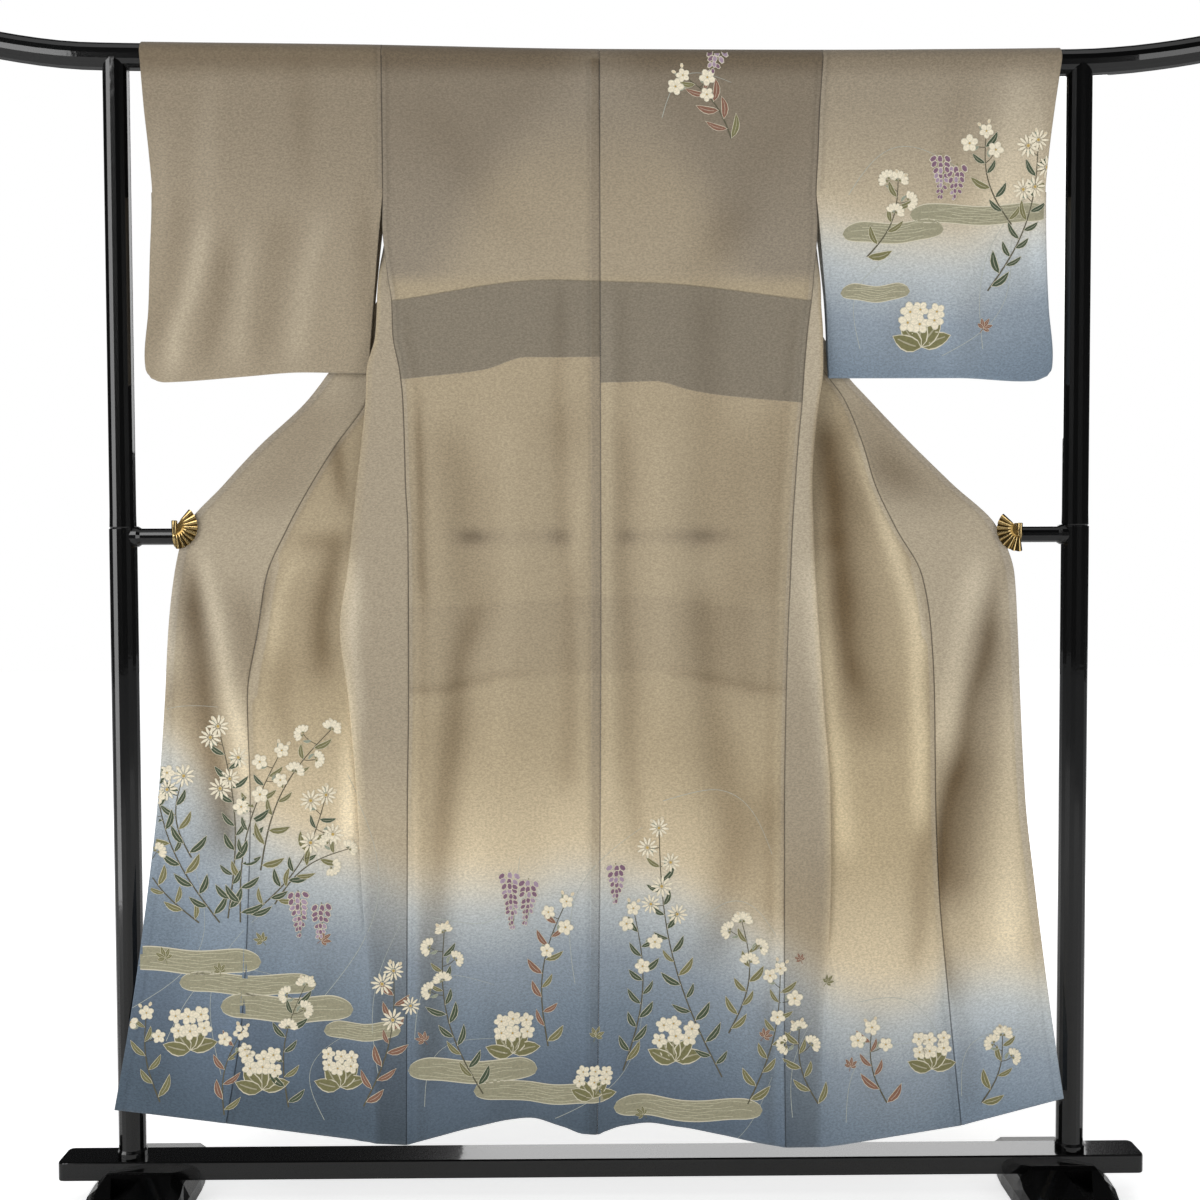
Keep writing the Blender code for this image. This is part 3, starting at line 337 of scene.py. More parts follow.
OVERLAP_CREASES = (
    (19, 2.8, 0.46, (-601, 948), (-593, 897), (-581, 824), (-575, 751), (-566, 678), (-552, 604),
     (-543, 530)),
    (30, 1.4, 0.38, (-613, 911), (-606, 824), (-601, 751), (-586, 678), (-573, 604), (-561, 516)),
    (13, -2.4, -0.5, (-579, 955), (-567, 897), (-551, 824), (-539, 751), (-522, 677), (-510, 619)),
    (27, 1.2, 0.34, (-526, 911), (-510, 824), (-496, 750)),
    (16, -1.0, -0.56, (-626, 933), (-627, 868), (-629, 795)),
    (33, 1.6, 0.12, (-626, 457), (-647, 279), (-659, 160)),
    (18, -1.6, -0.14, (-537, 308), (-551, 144)),
    (13, 1.8, 0.16, (-514, 293), (-533, 144)),
    (15, 3.0, 0.36, (586, 936), (577, 893), (566, 819), (545, 746), (531, 672), (509, 599), (496, 525),
     (492, 406), (494, 316)),
    (36, 1.6, 0.42, (582, 878), (574, 819), (562, 746), (551, 672), (534, 599), (520, 525), (514, 450)),
    (18, -1.8, -0.4, (552, 951), (539, 893), (525, 820), (512, 746), (501, 680)),
    (24, -1.2, -0.34, (605, 922), (606, 819), (605, 746), (603, 657), (599, 524), (596, 376)),
    (15, 1.0, 0.1, (624, 450), (630, 346), (637, 226)),
    (21, 1.8, 0.2, (512, 361), (527, 286), (540, 211), (543, 136)),
    (36, 0.8, 0.34, (379, 1184), (417, 1112), (443, 1054)),
    (50, 0.8, 0.24, (417, 1112), (448, 1068), (487, 1032)),
    (44, 0.8, 0.27, (534, 658), (521, 554), (514, 428), (512, 301)),
    (74, 0.8, 0.27, (-416, 1193), (-446, 1114), (-484, 1034)),
)
FAR_CREASES = (
    (27, 2.0, 0.05, (-248, 1657), (-191, 1483), (-221, 1395)),
    (18, -2.0, -0.04, (-292, 1599), (-236, 1337), (-296, 1219)),
    (27, 2.0, 0.05, (236, 1657), (170, 1482), (207, 1395)),
    (18, -2.0, -0.04, (295, 1599), (251, 1336), (296, 1218)),
)
SLEEVE_CREASES = (
    (15, -2.6, -0.34, (-570, 1447), (-592, 1346), (-613, 1289), (-628, 1228)),
    (18, 2.0, 0.2, (-542, 1418), (-560, 1317), (-576, 1242)),
    (18, -1.8, -0.2, (-403, 1447), (-430, 1332), (-445, 1242)),
    (24, 1.4, 0.14, (-460, 1447), (-479, 1332), (-495, 1242)),
    (15, -1.4, -0.16, (-507, 1418), (-518, 1332), (-529, 1242)),
    (21, 1.2, 0.14, (-607, 1475), (-635, 1346), (-657, 1260)),
    (18, -1.2, -0.12, (-559, 1632), (-573, 1475)),
    (18, 1.0, 0.1, (-432, 1647), (-425, 1504)),
    (18, -1.0, -0.08, (-637, 1590), (-637, 1447), (-638, 1332)),
    (18, 1.2, 0.16, (-339, 1475), (-340, 1288)),
    (33, -1.2, -0.36, (607, 1647), (599, 1547), (580, 1446)),
    (12, -1.6, -0.22, (637, 1604), (635, 1475), (642, 1359)),
    (21, 1.4, 0.1, (523, 1633), (495, 1475)),
    (21, 1.4, 0.1, (445, 1345), (430, 1243)),
    (15, -1.2, -0.12, (499, 1330), (504, 1243)),
    (18, 1.2, 0.1, (547, 1374), (543, 1258)),
)


def relief(creases, x, z):
    """Depth and painted shade of all the creases at places on the garment."""
    depths = np.zeros(np.broadcast(x, z).shape)
    shades = np.zeros(depths.shape)
    for number, (width, depth, shade, *places) in enumerate(creases):
        heights = [place[1] for place in places]
        middles = [place[0] for place in places]
        middle = smooth(heights, middles, z)
        slope = (smooth(heights, middles, z + 6.0) - smooth(heights, middles, z - 6.0)) / 12.0
        off = (x - middle) / np.sqrt(1 + slope ** 2)
        wave = uneven(z / 46.0, number * 1.3, number)
        blend = 40.0 if len(places) > 2 else 60.0
        above, below = z - min(heights) + blend, max(heights) + blend - z
        fade = ease(above / (2 * blend)) * ease(below / (2 * blend))
        form = fade * bump(off - 2.0 * wave, width * (1 + 0.15 * wave))
        depths = depths + depth * (1 + 0.25 * wave) * form
        shades = shades + shade * (1 + 0.15 * wave) * form
    return depths, shades


TABLES = (BACK_CREASES, PANEL_CREASES, OVERLAP_CREASES, FAR_CREASES, SLEEVE_CREASES)
print("creases:", sum(len(table) for table in TABLES))

# %% [markdown]
# ## From a flat grid to hung cloth
# Blender's grid operator makes an even sheet of squares. Cloth starts the same way: a flat length from
# the loom. Each vertex is then moved to its place on the hung garment, and its texture coordinates keep
# the flat size in metres, so that the weave stays on scale. A Solidify modifier gives the sheet its
# thickness. Measured distances, such as how far a vertex lies from a seam, are kept on the vertices for
# the materials to read.

# %% Cloth from a grid
SHELLS = {}
# What the materials read from a vertex that has no seam, no second layer and no blue near it
NOTHING_NEAR = {"seam": FAR_AWAY, "allowance": -FAR_AWAY, "tuck_top": -FAR_AWAY, "tuck_low": -FAR_AWAY,
                "blue": -900.0}


def measures(shape, **known):
    """The measures that every vertex of a grid keeps for the materials."""
    return {name: np.broadcast_to(value, shape) for name, value in {**NOTHING_NEAR, **known}.items()}


def flat_lengths(points):
    """Running length along both directions of a grid of points, in metres."""
    points = np.nan_to_num(points)
    across = np.linalg.norm(np.diff(points, axis=1), axis=2)
    down = np.linalg.norm(np.diff(points, axis=0), axis=2)
    u = np.concatenate([np.zeros((len(points), 1)), np.cumsum(across, axis=1)], axis=1)
    v = np.concatenate([np.zeros((1, points.shape[1])), np.cumsum(down, axis=0)], axis=0)
    return u * MM, np.repeat(v.mean(axis=1, keepdims=True), points.shape[1], axis=1) * MM


def lay_grid(bm, points, uv, facts, keep=None):
    """Adds a grid to a mesh and moves its vertices to the points, with their facts."""
    rows, columns = points.shape[:2]
    layers = {name: bm.verts.layers.float.get(name) or bm.verts.layers.float.new(name) for name in facts}
    uv_layer = bm.loops.layers.uv.get("flat") or bm.loops.layers.uv.new("flat")
    made = bmesh.ops.create_grid(bm, x_segments=columns - 1, y_segments=rows - 1, size=0.5, calc_uvs=False)
    place = {}
    for vert in made["verts"]:
        i = round((vert.co.x + 0.5) * (columns - 1))
        j = round((vert.co.y + 0.5) * (rows - 1))
        place[vert] = (j, i)
        vert.co = Vector(points[j, i]) * MM
        for name, values in facts.items():
            vert[layers[name]] = values[j, i]
    gone = []
    for face in {face: None for vert in made["verts"] for face in vert.link_faces}:
        places = [place[vert] for vert in face.verts]
        if keep is not None and not keep[min(j for j, i in places), min(i for j, i in places)]:
            gone.append(face)
            continue
        for loop, (j, i) in zip(face.loops, places):
            loop[uv_layer].uv = (uv[0][j, i], uv[1][j, i])
    if gone:
        bmesh.ops.delete(bm, geom=gone, context="FACES")
    return place


def add_piece(bm, name, material):
    """Makes an object of a bmesh and puts it into the scene."""
    mesh = bpy.data.meshes.new(name)
    bm.to_mesh(mesh)
    bm.free()
    mesh.materials.append(material)
    mesh.shade_smooth()
    piece = bpy.data.objects.new(name, mesh)
    bpy.context.scene.collection.objects.link(piece)
    print(f"{name}: {len(mesh.polygons)} faces")
    return piece


def finish_cloth(bm, name, material, thickness, outward, nodes):
    """Turns the sheet's faces outward, keeps it for the design, and gives it its thickness."""
    bm.normal_update()
    area = sum(face.calc_area() for face in bm.faces)
    if outward:
        probe = max(bm.faces, key=lambda face: abs(face.normal.dot(Vector(outward))) * face.calc_area())
        if probe.normal.dot(Vector(outward)) < 0:
            bmesh.ops.reverse_faces(bm, faces=bm.faces[:])
            bm.normal_update()
    SHELLS[name] = BVHTree.FromBMesh(bm)
    piece = add_piece(bm, name, material)
    wall = piece.modifiers.new("Cloth thickness", "SOLIDIFY")
    wall.thickness = thickness
    wall.offset = 0.0
    wall.use_even_offset = True
    wall.use_quality_normals = True
    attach(piece, "root")
    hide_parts(*nodes)
    return piece, area


# %% [markdown]
# ## The body lengths
# Each half of the body is one length of cloth that runs from the back hem over the shoulder to the front
# hem, with no shoulder seam and only a slit at the neck. The back hangs nearly flat. The front starts at
# the side seam as a narrow strip that faces the viewer, turns back behind itself, and sweeps out to the
# seam of the overlap panel. A section at each height gives that S-shape, and the rows between follow.

# %% Section of a front
PANEL_STEPS = (9, 7, 12, 6, 25)
CENTRE_COLUMNS = 18
ROW_STEP = 7.0


def front_controls(side, row):
    """The seven places of a front at each row, from the side seam to the free edge."""
    row = np.asarray(row, float)
    fall = 1.0 - ease((row - HEM_ROW) / HEM_REACH)
    points = []
    for (place, depth), hem in zip(FRONT_DEPTH.items(), FRONT_HEM[side]):
        z = row + (hem - HEM_ROW) * fall
        x = front_x(side, place, z)
        y = smooth(FRONT_HEIGHTS, depth, z)
        points.append(np.stack(np.broadcast_arrays(x, y, follow_rail(SIDES[side] * x, z, row)), axis=-1))
    return points


def unit(vector):
    return vector / np.maximum(np.linalg.norm(vector, axis=-1, keepdims=True), 1e-6)


def turn(start, end, along_start, along_end, steps):
    """A soft fold between two places, bulging the way the cloth runs into it."""
    alike = np.sum(along_start * along_end, axis=-1, keepdims=True)
    reach = np.linalg.norm(end - start, axis=-1, keepdims=True) * (1.5 - 0.5 * alike)
    points = []
    for k in range(1, steps + 1):
        t = k / steps
        points.append(
            start * (1 + 2 * t) * (1 - t) ** 2 + end * t * t * (3 - 2 * t)
            + along_start * reach * t * (1 - t) ** 2 + along_end * reach * t * t * (t - 1)
        )
    return points


def front_section(side, rows):
    """A front at each row, from its side seam to the overlap seam: (rows, columns, 3)."""
    c = front_controls(side, rows)[:6]
    runs = [unit(c[1] - c[0]), unit(c[3] - c[2]), unit(c[5] - c[4])]
    points = [c[0]]
    for k, steps in enumerate(PANEL_STEPS):
        if k % 2:
            points += turn(c[k], c[k + 1], runs[k // 2], runs[k // 2 + 1], steps)
            continue
        for n in range(1, steps + 1):
            t = n / steps
            t = t ** 1.5 if k == 0 else 1 - (1 - t) ** 1.6 if k == 4 else t
            points.append(c[k] + (c[k + 1] - c[k]) * t)
    return np.stack(points, axis=-2)


# %% [markdown]
# ## The back and its seams
# The back sinks softly where it touches the crossbar behind it. Along each seam the cloth dips into the
# stitching and then rises over the seam allowance, which is pressed to one side, so a small groove with
# a ridge beside it is added. Those few tenths of a millimetre are what make a seam readable.

# %% The back's depth
CENTRE_ALLOWANCE = 14.0


def seam_profile(distance, allowance):
    """Depth away from the viewer near a seam: the stitched groove, then the edge of the allowance."""
    groove = 0.9 * bump(distance, 1.6)
    return groove - 0.45 * bump(distance - 4.0, 3.0) - 0.3 * ease((allowance - distance) / 4.0)


def clear_of_crossbar(y, z):
    """Keeps the cloth on the viewer's side of the bar that it hangs against."""
    near = np.sqrt(np.maximum(0.0, (CROSSBAR_REACH + 0.9) ** 2 - (z - CROSSBAR_HEIGHT) ** 2))
    return np.where(near > 0.5, np.minimum(y, -near), y)


def back_depth(x, across, z):
    side_y = smooth(BACK_HEIGHTS, BACK_SIDE_DEPTH, z)
    centre_y = smooth(BACK_HEIGHTS, BACK_CENTRE_DEPTH, z)
    y = centre_y + (side_y - centre_y) * across ** 2
    for valley in VALLEYS:
        middle = smooth(VALLEY_HEIGHTS, valley["x"], z)
        depth = smooth(VALLEY_HEIGHTS, valley["depth"], z)
        y = y + depth * bump(x - middle, valley["width"])
    low = ease((z - 60.0) / 60.0) * ease((UNDER_RAIL - z) / 160.0)
    depth, shade = relief(BACK_CREASES, x, z)
    y = y + low * (depth + 0.5 * uneven(x / 70.0, z / 110.0))
    return y, shade


def back_rows(side, rows):
    """The back from the centre seam to the side seam at each row, and its distance from both."""
    sign = SIDES[side]
    rows = np.asarray(rows, float)[:, None]
    count = CENTRE_COLUMNS + sum(PANEL_STEPS)
    k = np.arange(count + 1)[None, :]
    side_x = front_x(side, "side", rows) - SEAM_GAP
    centre = sign * pairs(CENTRE_SEAM, rows) + 0.15
    neck = centre + (side_x - centre) * NECK_HALF / BACK_HALF
    split = np.where(k <= CENTRE_COLUMNS, centre + (neck - centre) * k / CENTRE_COLUMNS,
                     neck + (side_x - neck) * (k - CENTRE_COLUMNS) / sum(PANEL_STEPS))
    t = denser_ends(k / count, 0.82)
    x = split + (centre + (side_x - centre) * t - split) * ease((UNDER_RAIL - rows) / 120.0)
    fall = 1.0 - ease((rows - HEM_ROW) / HEM_REACH)
    z = rows + (pairs(BACK_HEM, sign * x) - HEM_ROW) * fall
    y, shade = back_depth(sign * x, x / side_x, z)
    from_centre = x - centre
    from_side = side_x - x
    hang = ease((1650.0 - rows) / 40.0)
    allowance = CENTRE_ALLOWANCE if side == "left" else 0.0
    y = y + hang * seam_profile(from_centre, allowance) * 0.8 + hang * seam_profile(from_side, 0.0)
    y = clear_of_crossbar(y, z)
    z = follow_rail(sign * x, z, rows)
    return np.stack(np.broadcast_arrays(sign * x, y, z), axis=-1), from_centre, from_side, shade


# %% [markdown]
# ## Sewing the halves into one grid
# The rows of a half run up the back, over the rail and down the front. Where the neck is cut, the faces
# are left out. Every vertex also keeps what the dye and the painted light need: how brightly light would
# come through the layers behind it, its painted shade, how far it is from a seam, how far below the edge
# of the blue it hangs, and where the tuck at the waist starts and ends.

# %% Where the colours change
BLUE_EDGE = (
    (-760, 740), (-640, 690), (-560, 610), (-440, 530), (-340, 500), (-250, 470), (-140, 470), (-40, 492),
    (60, 480), (160, 440), (230, 400), (300, 350), (350, 312), (420, 300), (480, 312), (510, 335),
    (580, 338), (740, 300),
)
SLEEVE_BLUE_EDGE = ((330, 1428), (400, 1414), (520, 1410), (600, 1434), (670, 1452))
TUCK_TOP = ((-300, 1328), (-72, 1358), (0, 1356), (87, 1353), (300, 1328))
TUCK_LOW = {
    "left": ((-300, 1213), (-261, 1217), (-169, 1228), (-106, 1246), (0, 1246)),
    "right": ((0, 1209), (79, 1211), (127, 1199), (189, 1189), (300, 1179)),
}
# Painted shadows where the back leans on the crossbar: x, width and strength of each dark spot
CROSSBAR_PAINTED_SHADOWS = ((-187, 24, 1.25), (-62, 18, 0.8), (39, 16, 0.8), (150, 34, 1.0), (-125, 60, 0.35),
                  (95, 50, 0.35))
# Top and bottom of a faint band across the back, painted darker, as layers behind it let less light through
FAINT_TOP = ((-230, 886), (-60, 899), (30, 903), (230, 882))
FAINT_LOW = ((-230, 760), (-120, 782), (60, 786), (240, 758))


def below_blue(x, z):
    """How far the cloth hangs below the edge of the blue, which fades more slowly on the left."""
    below = pairs(BLUE_EDGE, x) - z
    spread = 0.74 + 0.26 * ease((x + 620.0) / 170.0)
    return np.where(below > 0, below * spread, below)


def back_layers(x, z):
    """Painted light through the back, 1 where a single layer hangs free, and the back's painted shade."""
    behind = ease((z - TUCK_ROW - 15.0) / 30.0)
    side = np.where(x < 0, "left", "right")
    free = 0.0
    for name, sign in SIDES.items():
        edge = front_x(name, "seam", z) - 0.95 * COLLAR_WIDTH
        free = np.where(side == name, ease((edge - sign * x + 55.0) / 110.0), free)
    # Painted light: little where the fronts hang behind the back, more in the neck's opening and towards the
    # hem
    high = 0.06 + 0.34 * free * ease((UNDER_RAIL - z) / 170.0)
    low = 0.60 + 0.30 * ease((950.0 - z) / 500.0)
    faint = ease((pairs(FAINT_TOP, x) - z) / 3.0) * ease((z - pairs(FAINT_LOW, x)) / 3.0)
    # Painted shadows of the crossbar behind the back
    bar = bump(z - (CROSSBAR_HEIGHT - 2.0), 11.0) * sum(
        strength * bump(x - place, width) for place, width, strength in CROSSBAR_PAINTED_SHADOWS)
    bar = np.minimum(bar, 1.3) * (1 - behind)
    # A painted shadow under the faint band's lower edge
    band_edge_painted_shadow = bump(z - pairs(FAINT_LOW, x) - 5.0, 9.0) * ease((np.abs(x) - 60.0) / 110.0)
    shade = 0.07 * faint + 0.13 * band_edge_painted_shadow + 0.26 * bar + 0.15 * (1 - free) * behind
    return low * (1 - behind) + high * behind - 0.06 * faint - 0.25 * bar, shade


def high_shade(z):
    """The light comes from low in front, so the cloth near the rail gets a painted shade."""
    return 0.20 * ease((z - TUCK_ROW) / 330.0) + 0.25 * ease((z - UNDER_RAIL) / 34.0)


def side_seam_shade(z, from_side):
    """Painted shade in a dip inside the side seam, then a painted highlight where the cloth stands off."""
    hollow = 0.10 * bump(from_side - 22.0, 9.0) - 0.10 * bump(from_side - 8.0, 6.0)
    return ease((1340.0 - z) / 60.0) * hollow


def panel_layers(side, x, z):
    """Painted light and shade of the fronts: the strip by the side seam hides a second layer, the rest hangs
    free.
    """
    fold = front_x(side, "out_near", z)
    strip = ease((fold + 3.0 - x) / 6.0)
    free = 0.70 + 0.25 * ease((1000.0 - z) / 500.0)
    touch = fold + (26.0 if side == "right" else 50.0)
    # A painted shadow of the crossbar behind the front
    bar = bump(z - (CROSSBAR_HEIGHT - 8.0), 16.0) * bump(x - touch, 34.0)
    # A painted highlight along the strip, and painted shade low on it
    bright = 0.28 * strip * ease((z - 700.0) / 260.0) * (1.0 if side == "right" else 0.16)
    low = 0.24 * strip * ease((600.0 - z) / 160.0)
    shade = (0.10 if side == "right" else 0.26) * bar * (1 - strip) - bright + low
    return 0.30 * strip + (1 - strip) * free, shade


# Heights between which the allowance of the okumi seam lies folded back wider by the clip's pull
WIDE_ALLOWANCE = {"left": (958.0, 745.0), "right": (950.0, 828.0)}


def okumi_allowance(side, z):
    """Width of the allowance beside the okumi seam."""
    top, low = WIDE_ALLOWANCE[side]
    return 7.0 + 8.0 * ease((top - z) / 14.0) * ease((z - low) / 14.0)


# %% Both halves of the body
def body_grid(side):
    """All the rows of a half, from the back hem over the rail to the front hem."""
    sign = SIDES[side]
    hang_rows = np.append(np.arange(HEM_ROW, TOP_ROW, ROW_STEP), TOP_ROW)
    back, from_centre, from_side, back_shade = back_rows(side, hang_rows)
    end = front_section(side, np.array([TOP_ROW]))[0][::-1]
    over = []
    for angle in np.arange(RAIL_STEP, 172.0, RAIL_STEP):
        x = back[-1, :, 0].copy()
        x[CENTRE_COLUMNS:] += (sign * end[:, 0] - x[CENTRE_COLUMNS:]) * ease(angle / 180.0)
        over.append(round_rail(x, angle))
    front = front_section(side, hang_rows[::-1])[:, ::-1]
    x, y, z = front[..., 0], front[..., 1], front[..., 2]
    runs = np.arange(len(front[0]))
    seen = runs[::-1] < sum(PANEL_STEPS[:2])
    outer = runs < PANEL_STEPS[4] + 3
    low, high = ease((1250.0 - z) / 120.0), ease((z - 1200.0) / 120.0)
    depth, front_shade = (
        np.where(outer, near * low + far * high, np.where(seen, near, 0.0))
        for near, far in zip(relief(PANEL_CREASES, sign * x, z), relief(FAR_CREASES, sign * x, z)))
    edge_fade = ease(np.minimum(runs, runs[::-1]) / 4.0)
    y = y + depth * edge_fade * ease((UNDER_RAIL - z) / 100.0)
    y = np.where(y > CROSSBAR_REACH + 0.5, y, clear_of_crossbar(y, z))
    front = np.stack([sign * x, y, z], axis=-1)
    neck = np.repeat(front[:, :1], CENTRE_COLUMNS, axis=1)
    points = np.concatenate([back, np.stack(over), np.concatenate([neck, front], axis=1)])
    front_shade = np.concatenate([np.zeros((len(front), CENTRE_COLUMNS)), front_shade], axis=1)
    shade = np.concatenate([back_shade, np.zeros((len(over), points.shape[1])), front_shade])
    return points, len(back), len(over), from_centre, from_side, shade


def body_length(side, material):
    points, backs, overs, from_centre, from_side, shade = body_grid(side)
    rows, columns = points.shape[:2]
    x, z = points[..., 0], points[..., 2]
    sign = SIDES[side]
    keep = np.ones((rows - 1, columns - 1), bool)
    neck_row = backs + int((NECK_ANGLE - RAIL_STEP) / RAIL_STEP)
    keep[neck_row:, :CENTRE_COLUMNS] = False
    is_back = (np.arange(rows) < backs + overs // 2)[:, None]
    back_light, back_dim = back_layers(x, z)
    front_light, front_dim = panel_layers(side, sign * x, z)
    layers = np.where(is_back, back_light, front_light)
    seam = np.full((rows, columns), FAR_AWAY)
    seam[:backs] = np.minimum(from_centre, from_side)
    section = np.linalg.norm(np.diff(points, axis=1), axis=2)
    run = np.concatenate([np.zeros((rows, 1)), np.cumsum(section, axis=1)], axis=1)
    lower = slice(backs + overs, rows)
    seam[lower] = np.minimum(run[lower], run[lower][:, -1:] - run[lower])
    seam[lower, :CENTRE_COLUMNS] = FAR_AWAY
    allowance = np.full((rows, columns), -FAR_AWAY)
    # Painted shade of the layers, the crossbar, the faint band and the side seams
    shade = shade + np.where(is_back, back_dim, front_dim)
    shade[:backs] += side_seam_shade(z[:backs], from_side)
    if side == "left":
        allowance[:backs] = CENTRE_ALLOWANCE - from_centre
        # The doubled allowance of the centre seam in painted shade
        shade[:backs] += 0.17 * ease((CENTRE_ALLOWANCE - from_centre) / 3.0)
    allowance[:backs] = np.maximum(allowance[:backs], 6.0 - from_side)
    allowance[lower] = okumi_allowance(side, z[lower]) - run[lower]
    facts = measures(
        (rows, columns), layers=layers, seam=seam, allowance=allowance, blue=below_blue(x, z),
        tuck_top=np.where(is_back, pairs(TUCK_TOP, x) - z, -FAR_AWAY),
        tuck_low=np.where(is_back, z - pairs(TUCK_LOW[side], x), -FAR_AWAY),
        hollow=shade + high_shade(z))
    uv = flat_lengths(points)
    bm = bmesh.new()
    lay_grid(bm, points, uv, facts, keep)
    loose = [vert for vert in bm.verts if not vert.link_faces]
    bmesh.ops.delete(bm, geom=loose, context="VERTS")
    return finish_cloth(bm, f"silk_body_{side}", material, SHELL, (0, -1, 0), [f"body_{side}"])


# %% [markdown]
# ## The overlap panels
# The okumi is a half-width strip sewn to each front edge. It runs from a point on the collar down to the
# hem, and its free edge has a narrow rolled hem, so the last centimetre is a little thicker.

# %% Overlap panels
OVERLAP_STEPS = 30
OVERLAP_HEM = 11.0


def overlap_panel(side, material):
    sign = SIDES[side]
    rows = np.arange(HEM_ROW, OKUMI_TOP, ROW_STEP)
    rows = np.append(rows, OKUMI_TOP)[::-1]
    seam, edge = front_controls(side, rows)[5:]
    t = np.linspace(0.0, 1.0, OVERLAP_STEPS + 1)
    t = denser_ends(t, 0.7)[None, :, None]
    start = seam + unit(edge - seam) * 0.35
    points = start[:, None] + (edge - start)[:, None] * t
    x, y, z = points[..., 0], points[..., 1], points[..., 2]
    width = np.linalg.norm(edge - start, axis=-1)[:, None]
    from_seam = width * t[..., 0]
    from_edge = width - from_seam
    hang = ease((TUCK_ROW - z) / 160.0) * ease(width / 30.0)
    depth, shade = relief(OVERLAP_CREASES, sign * x, z)
    y = y + hang * depth * ease(from_seam / 12.0) * ease(from_edge / 14.0)
    y = y + hang * (seam_profile(from_seam, 0.0) - 0.35 * ease((OVERLAP_HEM - from_edge) / 3.0))
    y = clear_of_crossbar(y, z)
    points = np.stack([sign * x, y, z], axis=-1)
    # Painted light through the panel, less at the doubled rolled hem, and an overall painted brightening
    layers = 0.34 + 0.34 * ease((900.0 - z) / 400.0) - 0.20 * ease((OVERLAP_HEM + 0.5 - from_edge) / 1.5)
    lighter = 0.13 if side == "left" else 0.18
    facts = measures(
        x.shape, layers=layers, seam=np.minimum(from_seam, FAR_AWAY), allowance=OVERLAP_HEM - from_edge,
        blue=below_blue(sign * x, z), hollow=hang * shade + high_shade(z) - lighter)
    bm = bmesh.new()
    lay_grid(bm, points, flat_lengths(points), facts)
    return finish_cloth(bm, f"silk_overlap_{side}", material, SHELL, (0, -1, 0), [f"okumi_{side}"])


# %% [markdown]
# ## The collar
# A straight band, folded in half along its length, is sewn round the neck and down both fronts. It hangs
# on the far side here, so only its top edge shows to the viewer, but from behind it is the garment's
# clearest line. Its rows are worked out at a few places and then read smoothly between them.

# %% Collar band
COLLAR_ROWS = (1048, 1085, 1120, 1153, 1186, 1227, 1253, 1280, 1305, 1330, 1360, 1400, 1440, 1483,
               1511, 1540, 1565, 1590, 1610, 1630, 1648)
NECK_PLACES = (-83.0, -80.0, -60.0, -32.0, 0.0, 32.0, 60.0, 80.0, 83.0)


def front_edge(side, row):
    controls = front_controls(side, row)
    return controls[6] if row < OKUMI_TOP else controls[5]


def cloth_behind(side, x, row):
    """Depth of the far face of the front at a place, for what lies against it."""
    places = front_controls(side, row)[4:]
    return np.interp(x, [p[0] for p in places], [p[1] for p in places])


def collar_controls():
    """The folded band from the left front edge round the neck to the right front edge."""
    lift = 3.0
    sides = {}
    for side, sign in SIDES.items():
        rows = []
        for row in COLLAR_ROWS:
            edge = front_edge(side, row)
            slope = unit(front_edge(side, row + 12.0) - front_edge(side, row - 12.0))
            inward = unit(np.array((-abs(slope[2]), 0.0, -abs(slope[0]))))
            drop = ease((row - 1560.0) / 100.0)
            inward = unit(inward * (1.0 - drop) + np.array((-0.25, 0.0, -1.0)) * drop)
            free = edge + inward * COLLAR_WIDTH
            free[1] = cloth_behind(side, free[0], free[2]) + lift + 3.5 * drop
            edge = edge + np.array((0.0, lift, 0.0))
            steps = [edge + (free - edge) * k / 4 for k in range(5)]
            rows.append([(sign * p[0], p[1], p[2]) for p in steps])
        sides[side] = rows
    neck = []
    for x in NECK_PLACES:
        height = rail_height(x)
        corner = ease((abs(x) - 80.0) / 3.0)
        turned = math.radians(NECK_ANGLE + 5.0 + 34.0 * corner)
        radius = OVER_RAIL + 0.7 + 1.2 * corner
        reach = math.radians(NECK_ANGLE + 33.0 + 24.0 * corner)
        neck.append([
            (x, -radius * math.cos(turned), height + radius * math.sin(turned)),
            (x * 0.99, -(radius + 1.2) * math.cos(reach), height + (radius + 1.2) * math.sin(reach)),
            (x * 0.97, 24.6 + 2.4 * corner, height - 12.0 - 4.0 * corner),
            (x * 0.95, 26.4 + 2.0 * corner, height - 27.0 - 4.0 * corner),
            (x * 0.92, 28.0 + 2.0 * corner, height - 42.0 - 6.0 * corner),
        ])
    return np.array(sides["left"] + neck + sides["right"][::-1], float)


def refine(points, rows, columns):
    """Reads a small grid of places smoothly at more rows and columns."""
    along = np.concatenate([[0.0], np.cumsum(np.linalg.norm(np.diff(points[:, 2], axis=0), axis=1))])
    fine = np.linspace(0.0, along[-1], rows)
    tall = np.stack([[smooth(along, points[:, k, axis], fine) for axis in range(3)]
                     for k in range(points.shape[1])])
    tall = np.moveaxis(tall, -1, 0)
    across = np.linspace(0.0, points.shape[1] - 1.0, columns)
    return np.stack([[smooth(np.arange(points.shape[1]), row[:, axis], across) for axis in range(3)]
                     for row in tall]).transpose(0, 2, 1)


def collar_band(material):
    points = refine(collar_controls(), 420, 13)
    u, v = flat_lengths(points)
    # Painted light through the folded band, and painted shade near the rail
    facts = measures(u.shape, layers=0.2, seam=u / MM + 0.5, hollow=high_shade(points[..., 2]))
    bm = bmesh.new()
    lay_grid(bm, points, (u, v), facts)
    return finish_cloth(bm, "silk_collar", material, COLLAR_SHELL, (0, 1, 0), ["collar"])


# %% [markdown]
# ## The sleeves
# A sleeve is a wide bag: one length folded over the rail and closed along the bottom and, below the
# wrist opening, along the outer edge. The body side stays open below the armhole. A ring of vertices
# goes round the bag at each place across it, and a narrow second grid folds round the closed outer edge.
# Where both grids meet they share places, so merging doubles sews them together.

# %% Sleeve bags
SLEEVE_COLUMNS_ACROSS = 56
FOLD_ANGLES = (45.0, 90.0, 135.0)


